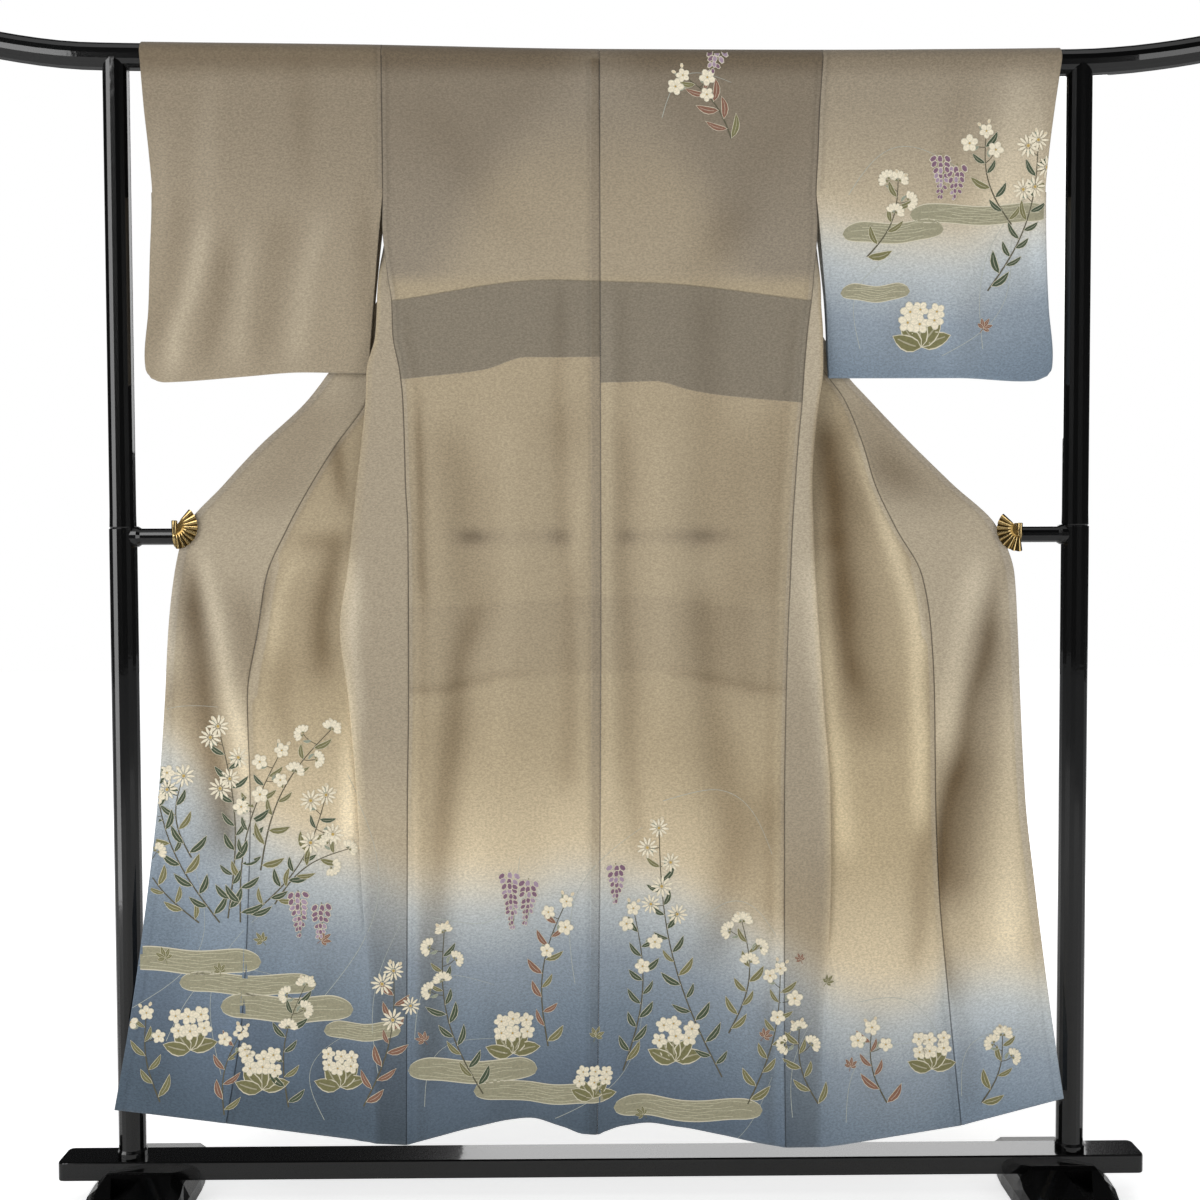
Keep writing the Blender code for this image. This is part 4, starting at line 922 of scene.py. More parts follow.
def sleeve_place(side, across, down, layer):
    """Places on one layer of the bag: layer is -1 for the near one and 1 for the far one."""
    sign = SIDES[side]
    bottom = pairs(SLEEVE_BOTTOM[side], across)
    z = bottom + down * (TOP_ROW - bottom)
    inner = sleeve_edge(side, "inner", z) + 0.35
    x = inner + (sleeve_edge(side, "outer", z) - inner) * across
    half = smooth(SLEEVE_HEIGHTS, SLEEVE_INNER_HALF, z) * (1 - across)
    half = half + smooth(SLEEVE_HEIGHTS, SLEEVE_OUTER_HALF, z) * across
    half = half + smooth(SLEEVE_HEIGHTS, SLEEVE_SWELL, z) * 4 * across * (1 - across)
    soft = ease((z - 1240.0) / 50.0) * ease((UNDER_RAIL - z) / 90.0)
    soft = soft * ease(across / 0.08) * ease((1 - across) / 0.08)
    crease = relief(SLEEVE_CREASES, sign * x, z)[0] + 0.4 * uneven(x / 60.0, z / 80.0, layer)
    half = np.maximum(half - soft * crease * np.where(layer < 0, 1.0, 0.8), FOLD_BELOW)
    sewn = ease((z - 1475.0) / 16.0) * ease((1660.0 - z) / 30.0)
    half = half - sewn * seam_profile(x - inner, 6.0) * np.where(layer < 0, 1.0, -0.4)
    return np.stack(np.broadcast_arrays(sign * x, layer * half, follow_rail(sign * x, z, z)), axis=-1)


def sleeve_bag(side, material):
    sign = SIDES[side]
    across = denser_ends(np.linspace(0.0, 1.0, SLEEVE_COLUMNS_ACROSS), 0.75)[:, None]
    bottom = pairs(SLEEVE_BOTTOM[side], 1.0)
    cuff = (CUFF_END - bottom) / (TOP_ROW - bottom)
    down = np.concatenate([np.linspace(0.0, 1.0, 7) ** 1.4 * 0.06, np.linspace(0.06, cuff, 32)[1:],
                           np.linspace(cuff, 1.0, 26)[1:]])
    closed = int(np.argmin(np.abs(down - cuff)))
    near = sleeve_place(side, across, down[None, :], -1.0)
    far = sleeve_place(side, across, down[None, ::-1], 1.0)
    fold = []
    for angle in FOLD_ANGLES:
        turned = math.radians(angle)
        lowest = near[:, 0].copy()
        lowest[:, 1] *= math.cos(turned)
        lowest[:, 2] -= FOLD_BELOW * math.sin(turned)
        lowest[-1, 0] += sign * FOLD_BELOW * 0.7 * math.sin(turned)
        lowest[-1, 2] += FOLD_BELOW * 0.3 * math.sin(turned)
        fold.append(lowest)
    fold = np.stack(fold, axis=1)
    over = [round_rail(near[:, -1, 0], angle) for angle in np.arange(10.0, 175.0, 10.0)]
    ring = np.concatenate([fold[:, ::-1], near, np.stack(over, axis=1), far, fold[:, -1:]], axis=1)
    strip = [near[-1, : closed + 1]]
    for angle in FOLD_ANGLES:
        turned = math.radians(angle)
        edge = near[-1, : closed + 1].copy()
        edge[:, 1] *= math.cos(turned)
        edge[:, 0] += sign * FOLD_BELOW * math.sin(turned)
        strip.append(edge)
    strip.append(far[-1, ::-1][: closed + 1])
    strip = np.stack(strip, axis=0)
    strip[1:-1, 0] = fold[-1]
    bm = bmesh.new()
    for points, is_strip in ((ring, False), (strip, True)):
        x, z = points[..., 0], points[..., 2]
        u, v = flat_lengths(points)
        from_inner = np.abs(x) - sleeve_edge(side, "inner", z)
        armhole = z > ARMHOLE + 3.0
        blue = pairs(SLEEVE_BLUE_EDGE, x) - z if side == "right" else -900.0
        # Painted light through the bag, less near the rail; painted shade of its creases and the rail; the
        # left sleeve painted darker, the right one lighter
        facts = measures(
            x.shape, layers=0.22 + 0.14 * ease((1650.0 - z) / 400.0), blue=blue,
            seam=np.where(armhole, from_inner, FAR_AWAY),
            allowance=np.where(armhole, 6.0 - from_inner, -FAR_AWAY),
            hollow=relief(SLEEVE_CREASES, x, z)[1] + high_shade(z) + (0.08 if side == "left" else -0.11))
        lay_grid(bm, points, (u, v) if is_strip else (v, u), facts)
    bmesh.ops.remove_doubles(bm, verts=bm.verts[:], dist=1e-6)
    bmesh.ops.recalc_face_normals(bm, faces=bm.faces[:])
    bm.normal_update()
    lowest = min(bm.faces, key=lambda face: face.calc_center_median().z)
    if lowest.normal.z > 0:
        bmesh.ops.reverse_faces(bm, faces=bm.faces[:])
    return finish_cloth(bm, f"silk_sleeve_{side}", material, SHELL, None, [f"sleeve_{side}"])


# %% [markdown]
# ## Materials
# Colours are noted as the hex values a screen shows and turned into the linear light that the renderer
# works in. One helper adds a node with its settings and its links, so that a material reads from top to
# bottom like a recipe.

# %% Colour and node helpers
def linear(hex_colour):
    values = [int(hex_colour[k:k + 2], 16) / 255 for k in (1, 3, 5)]
    return tuple(v / 12.92 if v <= 0.04045 else ((v + 0.055) / 1.055) ** 2.4 for v in values) + (1.0,)


def add(tree, kind, inputs=None, **settings):
    """Adds a node; an input is a number, a colour or another node's output."""
    made = tree.nodes.new(kind)
    for name, value in settings.items():
        setattr(made, name, value)
    for name, value in (inputs or {}).items():
        if isinstance(value, bpy.types.NodeSocket):
            tree.links.new(value, made.inputs[name])
        else:
            made.inputs[name].default_value = value
    return made


def new_material(name, **shader_values):
    made = bpy.data.materials.new(name)
    made.use_nodes = True
    shader = made.node_tree.nodes["Principled BSDF"]
    for socket, value in shader_values.items():
        shader.inputs[socket.replace("_", " ")].default_value = value
    return made, made.node_tree, shader


def span(tree, value, low, high):
    """0 below low, 1 above high, and a smooth step between."""
    return add(tree, "ShaderNodeMapRange", {0: value, 1: low, 2: high, 3: 0.0, 4: 1.0},
               interpolation_type="SMOOTHSTEP").outputs[0]


def mix(tree, factor, first, second):
    return add(tree, "ShaderNodeMix", {0: factor, 6: first, 7: second}, data_type="RGBA").outputs[2]


def calc(tree, operation, *values):
    return add(tree, "ShaderNodeMath", dict(enumerate(values)), operation=operation).outputs[0]


def times(tree, first, *others):
    for other in others:
        first = calc(tree, "MULTIPLY", first, other)
    return first


def one_less(tree, value):
    """One less the value, which turns a mask round."""
    return calc(tree, "SUBTRACT", 1.0, value)


def line_at(tree, value, rise, fall):
    """A soft line where the value lies between two steps."""
    return times(tree, span(tree, value, *rise), one_less(tree, span(tree, value, *fall)))


def remap(tree, value, low, high, start, end):
    return add(tree, "ShaderNodeMapRange", {0: value, 1: low, 2: high, 3: start, 4: end}).outputs[0]


def measure(tree, name, output="Fac"):
    """What the vertices keep under a name."""
    return add(tree, "ShaderNodeAttribute", attribute_name=name).outputs[output]


def noise(tree, place, scale, detail, **more):
    inputs = {"Vector": place, "Scale": scale, "Detail": detail, **more}
    return add(tree, "ShaderNodeTexNoise", inputs).outputs[0]


def tint(tree, colour, factor):
    """Multiplies a colour by a number or by another colour."""
    return add(tree, "ShaderNodeVectorMath", {0: colour, 1: factor}, operation="MULTIPLY").outputs[0]


def own_place(tree):
    return add(tree, "ShaderNodeTexCoord").outputs["Object"]


def wire(shader, **sources):
    """Links finished values to the shader's sockets."""
    for socket, source in sources.items():
        shader.id_data.links.new(source, shader.inputs[socket.replace("_", " ")])


# %% [markdown]
# ## Silk crepe
# Chirimen is woven with hard-twisted weft that shrinks in hot water, so the surface breaks into a fine
# pebble of about 1 mm and scatters light softly, with almost no gloss. The pebble is drawn here at about
# 3 mm, because a finer one would vanish in a picture of the whole garment; it is a bump, and its light
# and dark are also painted into the colour. The dye runs through cream to a misty blue at the hem,
# brushed on wet so that it has no edge. No light passes through the cloth here, so the glow of a single
# layer, and the greyer, darker look where two or three layers lie on each other, are painted: that is
# what shows the tuck at the waist and the seam allowances. The creases, the crossbar, the seams and the
# rail add more painted shade, browner as it deepens.

# %% Crepe recipe
# Painted light: silk that layers behind it keep in shade, a single layer glowing, and the tuck in shade; the
# cream is dye
SILK_IN_PAINTED_SHADE = linear("#9A9080")
SILK_PAINTED_GLOWING = linear("#AC9B7B")
CREAM = linear("#CFBFA1")
TUCK_IN_PAINTED_SHADE = linear("#9B907C")
DYE_STOPS = ((0.0, "#CFC5B0"), (0.13, "#C2C0B6"), (0.25, "#ABB0B1"), (0.40, "#87919A"), (0.58, "#717E8A"),
             (0.78, "#5D6A78"), (1.0, "#4C5965"))
SILK_SURFACE = {"Roughness": 0.78, "Sheen_Weight": 0.25, "Sheen_Roughness": 0.45,
                "Specular_IOR_Level": 0.22}


def ramp(tree, value, stops):
    made = add(tree, "ShaderNodeValToRGB", {0: value})
    line = made.color_ramp
    line.elements[0].position, line.elements[0].color = stops[0][0], linear(stops[0][1])
    line.elements[1].position, line.elements[1].color = stops[-1][0], linear(stops[-1][1])
    for position, colour in stops[1:-1]:
        line.elements.new(position).color = linear(colour)
    return made.outputs[0]


def crepe_grain(tree, strength):
    """The pebble of the crepe, as a height for bump and as a value for its painted shade in the colour."""
    flat = add(tree, "ShaderNodeUVMap", uv_map="flat").outputs[0]
    drawn = add(tree, "ShaderNodeMapping", {"Vector": flat, "Scale": (0.8, 1.25, 1.0)}).outputs[0]
    pebble = noise(tree, drawn, 330.0, 2.0, Roughness=0.6, Distortion=0.7)
    thread = add(tree, "ShaderNodeTexVoronoi", {"Vector": flat, "Scale": 420.0}, feature="SMOOTH_F1")
    height = calc(tree, "ADD", pebble, times(tree, thread.outputs[0], 0.6))
    bumped = add(tree, "ShaderNodeBump", {"Strength": strength, "Distance": 0.0007, "Height": height})
    return pebble, bumped.outputs[0]


def silk_crepe():
    made, tree, shader = new_material("Silk crepe", **SILK_SURFACE)
    layers, hollow, seam, allowance, tuck_top, tuck_low, blue = (measure(tree, name) for name in (
        "layers", "hollow", "seam", "allowance", "tuck_top", "tuck_low", "blue"))
    # The tuck band and the seam allowances are doubled, and less light through them is painted as darker,
    # greyer silk
    band = times(tree, span(tree, tuck_top, 0.0, 1.2), span(tree, tuck_low, 0.0, 2.0))
    doubled = calc(tree, "MAXIMUM", band, times(tree, span(tree, allowance, -0.8, 0.8), 0.45))
    light = times(tree, layers, one_less(tree, doubled))
    ground = mix(tree, light, SILK_IN_PAINTED_SHADE, SILK_PAINTED_GLOWING)
    ground = mix(tree, times(tree, band, 0.6), ground, TUCK_IN_PAINTED_SHADE)
    # The cream above the blue is dye, and how much of it shows follows the painted light
    near_blue = times(tree, span(tree, blue, -240.0, 0.0), calc(tree, "MULTIPLY_ADD", light, 0.62, 0.30))
    ground = mix(tree, near_blue, ground, CREAM)
    dyed = ramp(tree, remap(tree, blue, -60.0, 380.0, 0.0, 1.0), DYE_STOPS)
    colour = mix(tree, span(tree, blue, -70.0, 40.0), ground, dyed)
    # Painted shade where less light comes through, deepest in the tuck band
    painted_layer_shade = calc(tree, "SUBTRACT", calc(tree, "MULTIPLY_ADD", light, 0.12, 0.92), times(tree, band, 0.27))
    pebble, normal = crepe_grain(tree, 0.55)
    # The pebble's light and dark painted into the colour, over the real bump
    painted_pebble_shade = calc(tree, "MULTIPLY_ADD", span(tree, pebble, 0.32, 0.68), 0.30, 0.85)
    stitched = one_less(tree, times(tree, one_less(tree, span(tree, seam, 0.3, 1.5)), 0.48))
    tuck_line = one_less(tree, times(tree, line_at(tree, tuck_top, (-1.6, -0.2), (0.2, 1.6)), 0.35))
    # A painted shadow just outside the edge of each seam allowance
    beside = calc(tree, "MULTIPLY_ADD", line_at(tree, allowance, (-8.0, -0.8), (-0.5, 0.7)), -0.13, 1.0)
    shade = times(tree, painted_layer_shade, painted_pebble_shade, stitched, tuck_line, beside)
    # Painted shade from the creases, the crossbar, the seams and the rail, browner as it deepens; below zero
    # it is a painted highlight
    painted_shade_tint = add(tree, "ShaderNodeVectorMath", {0: hollow, 1: (-0.92, -1.0, -1.1), 2: (1.0, 1.0, 1.0)},
               operation="MULTIPLY_ADD").outputs[0]
    wire(shader, Base_Color=tint(tree, tint(tree, colour, shade), painted_shade_tint), Normal=normal)
    return made


SILK = silk_crepe()
print("silk nodes:", len(SILK.node_tree.nodes))

# %% [markdown]
# ## Lacquer and gilding
# The stand is steel tube under a thick gloss black enamel: nearly no colour of its own, and a clear coat
# that mirrors the room. The clips are stamped brass with a warm gold plating, satin on the ribs.

# %% Hard materials
def black_lacquer():
    made, tree, shader = new_material(
        "Black lacquer", Base_Color=linear("#050505"), Specular_IOR_Level=0.12, Coat_Weight=1.0,
        Coat_Roughness=0.04, Coat_IOR=1.5)
    place = own_place(tree)
    ripple = noise(tree, place, 55.0, 2.0)
    dust = noise(tree, place, 900.0, 1.0)
    soft = add(tree, "ShaderNodeBump", {"Strength": 0.06, "Distance": 0.001, "Height": ripple}).outputs[0]
    wire(shader, Roughness=remap(tree, dust, 0.55, 0.8, 0.24, 0.4), Normal=soft, Coat_Normal=soft)
    return made


def gold_plate():
    made, tree, shader = new_material("Gold plated brass", Metallic=1.0)
    wear = noise(tree, own_place(tree), 260.0, 3.0)
    dark = calc(tree, "MULTIPLY_ADD", wear, 0.35, calc(tree, "SUBTRACT", measure(tree, "groove"), 0.17))
    colour = ramp(tree, dark, ((0.0, "#BFA673"), (0.25, "#8A6F3E"), (0.5, "#4A3819"), (0.85, "#1A130A")))
    wire(shader, Base_Color=colour, Roughness=remap(tree, dark, 0.0, 0.8, 0.2, 0.45))
    return made


LACQUER = black_lacquer()
GOLD = gold_plate()

# %% [markdown]
# ## Making the cloth
# Now the recipes are put to work. A table also gives each piece the flat size it was cut to, how it is held,
# and what it hangs on; the loop reads it but does nothing with it. The flat sizes are those of a kimono cut
# from one bolt.

# %% All the silk
CUTS = {
    "body": (0.365, 3.26, 1.17, ["top_rail", "crossbar"]),
    "overlap": (0.17, 1.42, 0.19, ["crossbar"]),
    "sleeve": (0.36, 0.98, 0.35, ["top_rail"]),
}
areas = {}
for side in SIDES:
    for kind, make in (("body", body_length), ("overlap", overlap_panel), ("sleeve", sleeve_bag)):
        piece, areas[f"{kind}_{side}"] = make(side, SILK)
        width, length, cut, rests = CUTS[kind]
piece, areas["collar"] = collar_band(SILK)
print({name: round(area, 3) for name, area in areas.items()})

# %% [markdown]
# ## The stand
# The stand's solids already have the right shape, so they keep it and only get their enamel.

# %% Enamel on the stand
STAND = ["top_rail", "crossbar", "base_rail"]
STAND += [f"{part}_{side}" for part in ("upright_upper", "upright_lower", "foot") for side in SIDES]
for name in STAND:
    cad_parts[name].data.materials.clear()
    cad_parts[name].data.materials.append(LACQUER)


# %% [markdown]
# ## Hand-painted dyeing
# The hem, one sleeve and a shoulder are painted by hand on the sewn-up cloth. A thread of rice paste
# first outlines every petal and leaf and keeps the dyes apart; washed out, it leaves a fine pale line.
# The motifs here are common ones, plum blossom, asters, maple and wisteria, in a layout of their
# own. Each is a small patch laid on the cloth nearest to the viewer, so it follows every fold, and its
# vertices carry the dye's colour and the distance to the outline.

# %% Dye recipe
PASTE_LINE = linear("#CFC8B2")
DYES = {name: linear(colour) for name, colour in {
    "petal": "#E4DAC2", "heart": "#B79B5A", "bud": "#D6C6A8", "green": "#47533F", "olive": "#77744F",
    "sage": "#8A9382", "rust": "#85604F", "plum": "#7F6274", "lilac": "#A28E9E", "wood": "#5E5A48",
    "grass": "#A9ADA4", "mist": "#9A967D", "thread": "#BDB89E",
}.items()}


def yuzen_dye():
    made, tree, shader = new_material("Hand-painted silk dye", **SILK_SURFACE)
    rim = measure(tree, "rim")
    pebble, normal = crepe_grain(tree, 0.5)
    brushed = calc(tree, "MULTIPLY_ADD", rim, 0.16, 0.88)
    # The pebble's light and dark painted into the colour, over the real bump
    painted_pebble_shade = calc(tree, "MULTIPLY_ADD", span(tree, pebble, 0.32, 0.68), 0.22, 0.89)
    tone = tint(tree, measure(tree, "dye", "Color"), times(tree, brushed, painted_pebble_shade))
    vein = one_less(tree, span(tree, rim, 0.04, 0.16))
    line = calc(tree, "MAXIMUM", span(tree, rim, 0.80, 0.90), times(tree, vein, 0.45))
    wire(shader, Base_Color=mix(tree, line, tone, PASTE_LINE), Normal=normal)
    return made


# %% Laying a patch on the cloth
LIFT = {"grass": 0.72, "mist": 0.80, "thread": 0.88, "stem": 0.96, "leaf": 1.04, "petal": 1.14,
        "heart": 1.50}
STEP_LIMIT = 5.0


def on_cloth(x, z, lift):
    """The place on the cloth nearest to the viewer at x, z, lifted clear of its face."""
    start = Vector((x * MM, -1.0, z * MM))
    hits = [shell.ray_cast(start, Vector((0.0, 1.0, 0.0)), 1.2) for shell in SHELLS.values()]
    hits = [hit for hit in hits if hit[0]]
    if not hits:
        return None
    place, normal = min(hits, key=lambda hit: hit[0].y)[:2]
    return place + (normal if normal.y < 0 else -normal) * lift * MM


def start_painting():
    bm = bmesh.new()
    bm.verts.layers.float_color.new("dye")
    bm.verts.layers.float.new("rim")
    bm.loops.layers.uv.new("flat")
    return bm


def lay(bm, verts, flat_place, rim_at, dye, lift):
    """Moves new vertices to their places on the cloth and drops what would bridge a step or an edge."""
    colours = bm.verts.layers.float_color["dye"]
    rims = bm.verts.layers.float["rim"]
    flat = bm.loops.layers.uv["flat"]
    places = {}
    lost = set()
    for vert in verts:
        s, t = vert.co.x, vert.co.y
        x, z = flat_place(s, t)
        places[vert] = (x, z)
        vert[colours] = DYES[dye]
        vert[rims] = rim_at(s, t)
        found = on_cloth(x, z, lift)
        if found is None:
            lost.add(vert)
        else:
            vert.co = found
    gone = []
    for face in {face: None for vert in verts for face in vert.link_faces}:
        depths = [vert.co.y for vert in face.verts]
        if any(vert in lost for vert in face.verts) or (max(depths) - min(depths)) > STEP_LIMIT * MM:
            gone.append(face)
            continue
        for loop in face.loops:
            x, z = places[loop.vert]
            loop[flat].uv = (x * MM, z * MM)
    bmesh.ops.delete(bm, geom=gone, context="FACES")
    loose = [vert for vert in verts if vert.is_valid and not vert.link_faces]
    bmesh.ops.delete(bm, geom=loose, context="VERTS")


def turned(x, z, angle):
    return x * math.cos(angle) - z * math.sin(angle), x * math.sin(angle) + z * math.cos(angle)


def step_off(x, z, way, reach):
    """The place that lies some way off in a direction."""
    return x + reach * math.cos(way), z + reach * math.sin(way)


def leaf(bm, x, z, angle, length, width, dye, bend=0.12, lift=None, steps=5):
    """A pointed leaf or lobe with a vein, from its foot at x, z."""
    def place(s, t):
        along = s + 0.5
        side = 2.0 * t * width / 2 * math.sin(math.pi * along ** 0.85) ** 0.8 if 0 < along < 1 else 0.0
        a, b = turned(along * length, side + bend * length * math.sin(math.pi * along), angle)
        return x + a, z + b

    made = bmesh.ops.create_grid(bm, x_segments=steps, y_segments=2, size=0.5)["verts"]
    lay(bm, made, place, lambda s, t: max(abs(2 * t), abs(2 * s) ** 8), dye, lift or LIFT["leaf"])


def disc(bm, x, z, across, along, angle, dye, lift, corners=8):
    """A round petal, bud or dot."""
    def place(s, t):
        a, b = turned(s * along, t * across, angle)
        return x + a, z + b

    made = bmesh.ops.create_circle(bm, cap_ends=True, cap_tris=True, segments=corners, radius=1.0)["verts"]
    lay(bm, made, place, lambda s, t: min(1.0, 0.3 + 0.75 * (s * s + t * t)), dye, lift)


def ribbon(bm, path, widths, dye, lift):
    """A drawn line along a path of places, wider at its start than at its end."""
    path = np.asarray(path, float)
    ways = unit(np.gradient(path, axis=0))

    def place(s, t):
        k = (s + 0.5) * (len(path) - 1)
        n = min(int(round(k)), len(path) - 1)
        half = (widths[0] + (widths[1] - widths[0]) * (s + 0.5)) * t
        return path[n][0] - ways[n][1] * half, path[n][1] + ways[n][0] * half

    made = bmesh.ops.create_grid(bm, x_segments=len(path) - 1, y_segments=1, size=0.5)["verts"]
    lay(bm, made, place, lambda s, t: 0.5, dye, lift)


def arc(x0, z0, x1, z1, bend, step=7.0):
    """Places along a bent line."""
    reach = math.hypot(x1 - x0, z1 - z0)
    count = max(3, int(reach / step))
    places = []
    for k in range(count + 1):
        t = k / count
        sway = bend * math.sin(math.pi * t)
        places.append((x0 + (x1 - x0) * t - (z1 - z0) * sway, z0 + (z1 - z0) * t + (x1 - x0) * sway))
    return places


# %% [markdown]
# A plum blossom has five round petals that just overlap, so each lies a hair above the last. An aster has
# narrow rays, an umbel is a dome of small flowers on stalks, a maple leaf is a fan of pointed lobes, a
# wisteria spray a tapering cluster, and mist a long band with round ends. One stem function places them
# with a little chance in every angle and size.

# %% Motifs
def blossom(bm, x, z, radius, angle, dye="petal"):
    for k in range(5):
        way = angle + k * math.tau / 5
        disc(bm, *step_off(x, z, way, radius * 0.56), radius * 0.40, radius * 0.47, way, dye,
             LIFT["petal"] + 0.05 * k)
    disc(bm, x, z, radius * 0.17, radius * 0.17, angle, "heart", LIFT["heart"], corners=6)


def aster(bm, x, z, radius, angle, dye="petal"):
    """A rayed flower: narrow petals round a small heart."""
    for k in range(11):
        way = angle + k * math.tau / 11
        reach = radius * (0.60 + 0.05 * (k % 2))
        disc(bm, *step_off(x, z, way, reach), radius * 0.125, radius * 0.42, way, dye,
             LIFT["petal"] + 0.04 * (k % 3), 6)
    disc(bm, x, z, radius * 0.2, radius * 0.2, angle, "heart", LIFT["heart"], corners=6)


def umbel(bm, x, z, radius, heading):
    """A shallow dome of many small flowers on short stalks, seen from the side."""
    for k in range(7):
        way = heading + math.radians(-78 + 26 * k)
        disc(bm, *step_off(x, z, way, radius * 0.60), radius * 0.24, radius * 0.40, way, "petal",
             LIFT["petal"] + 0.04 * (k % 2), 6)
    for side in (1.2, -1.2):
        leaf(bm, x, z, heading + side, radius * 0.7, radius * 0.3, "olive")


def bloom(kind, bm, x, z, heading, chance):
    """One flower of the kind that the stem carries."""
    if kind == "aster":
        aster(bm, x, z, chance.uniform(14.0, 17.0), chance.uniform(0, math.tau))
    elif kind == "umbel":
        umbel(bm, x, z, chance.uniform(14.0, 17.0), heading)
    else:
        blossom(bm, x, z, chance.uniform(10.0, 13.0), chance.uniform(0, math.tau))


def maple(bm, x, z, radius, angle, dye):
    for k, share in zip(range(-2, 3), (0.62, 0.88, 1.0, 0.88, 0.62)):
        leaf(bm, x, z, angle + k * 0.72, radius * share, radius * 0.36, dye, 0.0,
             LIFT["leaf"] + 0.03 * k, 4)
    foot = step_off(x, z, angle + math.pi, radius * 0.5)
    ribbon(bm, [(x, z), ((x + foot[0]) / 2, (z + foot[1]) / 2), foot], (0.9, 0.7), dye, LIFT["stem"])


def wisteria(bm, x, z, length, lean, chance):
    """A spray that hangs from x, z and tapers to its tip."""
    ribbon(bm, arc(x, z, x + lean * length, z - length, 0.05), (1.2, 0.6), "olive", LIFT["stem"])
    rows = int(length / 7.5)
    for row in range(rows):
        t = row / rows
        for side in (-1, 0, 1)[: 3 if t < 0.7 else 2]:
            spread = (1 - t) * 8.0 + 2.0
            size = 7.0 - 3.4 * t
            px = x + lean * length * t + side * spread + chance.uniform(-1.5, 1.5)
            pz = z - 8.0 - length * t + chance.uniform(-1.5, 1.5)
            way = math.radians(-90 + 40 * side + chance.uniform(-15, 15))
            dye = "lilac" if chance.random() < 0.35 else "plum"
            disc(bm, px, pz, size * 0.66, size, way, dye,
                 LIFT["petal"] + 0.03 * (row % 3) + 0.1 * (side == 0), 6)


def stem(bm, x0, z0, x1, z1, bend, chance, leaves, leaf_dye, flowers, kind):
    """A stem that grows from its foot to its tip, with leaves along it and flowers near the top."""
    path = arc(x0, z0, x1, z1, bend)
    ribbon(bm, path, (2.2, 1.0), "wood", LIFT["stem"])
    heading = math.atan2(z1 - z0, x1 - x0)
    for k in range(leaves):
        t = 0.06 + 0.80 * k / max(leaves - 1, 1)
        x, z = path[int(t * (len(path) - 1))]
        side = 1 if k % 2 else -1
        way = heading + side * math.radians(chance.uniform(28, 56))
        long = chance.uniform(27, 40) * (1.0 - 0.25 * t)
        wide = long * chance.uniform(0.26, 0.33)
        dye = leaf_dye if chance.random() < 0.8 else "olive"
        leaf(bm, x, z, way, long, wide, dye, 0.10 * side, LIFT["leaf"] + 0.03 * (k % 3))
    for k in range(flowers):
        t = 1.0 - 0.44 * k / max(flowers, 1)
        x, z = path[int(t * (len(path) - 1))]
        side = (0, 1, -1)[k % 3]
        way = heading + side * math.radians(chance.uniform(50, 80))
        a, b = step_off(x, z, way, abs(side) * chance.uniform(16, 26))
        if side:
            ribbon(bm, arc(x, z, a, b, 0.08 * side, 5.0), (1.0, 0.8), "wood", LIFT["stem"])
        bloom(kind, bm, a, b, way, chance)
        leaf(bm, x + (a - x) * 0.4, z + (b - z) * 0.4, way + 0.7, 13, 4.6, "sage")
    for way in (heading - 0.55, heading + 0.55):
        disc(bm, *step_off(*path[-1], way, 14.0), 2.6, 3.8, way, "bud", LIFT["petal"], 6)


def tuft(bm, x, z, chance, size=1.0, leaf_dye="olive"):
    """A low plant: broad leaves in a fan with a few blossoms above them."""
    for k in range(5):
        way = math.radians(18 + 36 * k + chance.uniform(-6, 6))
        leaf(bm, x, z, way, 42 * size, 22 * size, leaf_dye, 0.05, LIFT["leaf"] + 0.03 * k)
    for k in range(6):
        a = (k % 3 - 1) * 19 * size + chance.uniform(-4, 4)
        b = (32 + 18 * (k // 3) + chance.uniform(-4, 4)) * size
        blossom(bm, x + a, z + b, chance.uniform(11, 13.5) * size, chance.uniform(0, math.tau))


def mist(bm, x0, x1, z, height, slope=0.0):
    """A drifting band with round ends and threads of paste along it."""
    length = x1 - x0
    reach = height / length

    def place(s, t):
        along = s + 0.5
        near = min(along, 1 - along)
        half = height / 2 * math.sqrt(max(0.0, 1 - (1 - min(near / reach, 1.0)) ** 2))
        middle = z + slope * length * along + 2.5 * math.sin(along * 9.0)
        return x0 + length * along, middle + 2 * t * half

    made = bmesh.ops.create_grid(bm, x_segments=int(length / 4), y_segments=6, size=0.5)["verts"]
    lay(bm, made, place, lambda s, t: 0.3 + 0.7 * abs(2 * t) ** 5, "mist", LIFT["mist"])
    for k, share in enumerate((-0.66, -0.38, -0.1, 0.18, 0.46, 0.7)):
        begin = 0.08 + 0.11 * (k % 3)
        finish = 0.93 - 0.13 * ((k + 1) % 3)
        count = max(4, int(length * (finish - begin) / 6))
        line = [place(begin + (finish - begin) * n / count - 0.5, share / 2) for n in range(count + 1)]
        line = [(x, y + 0.9 * math.sin(n * 0.9 + k)) for n, (x, y) in enumerate(line)]
        ribbon(bm, line, (0.8, 0.8), "thread", LIFT["thread"])


# %% [markdown]
# ## The layout
# The painting is densest low on the left front, thins out towards the right and starts again on the
# right sleeve, because worn, the left front lies on top and the right sleeve faces the guests. All places
# are in millimetres on the hanging garment.

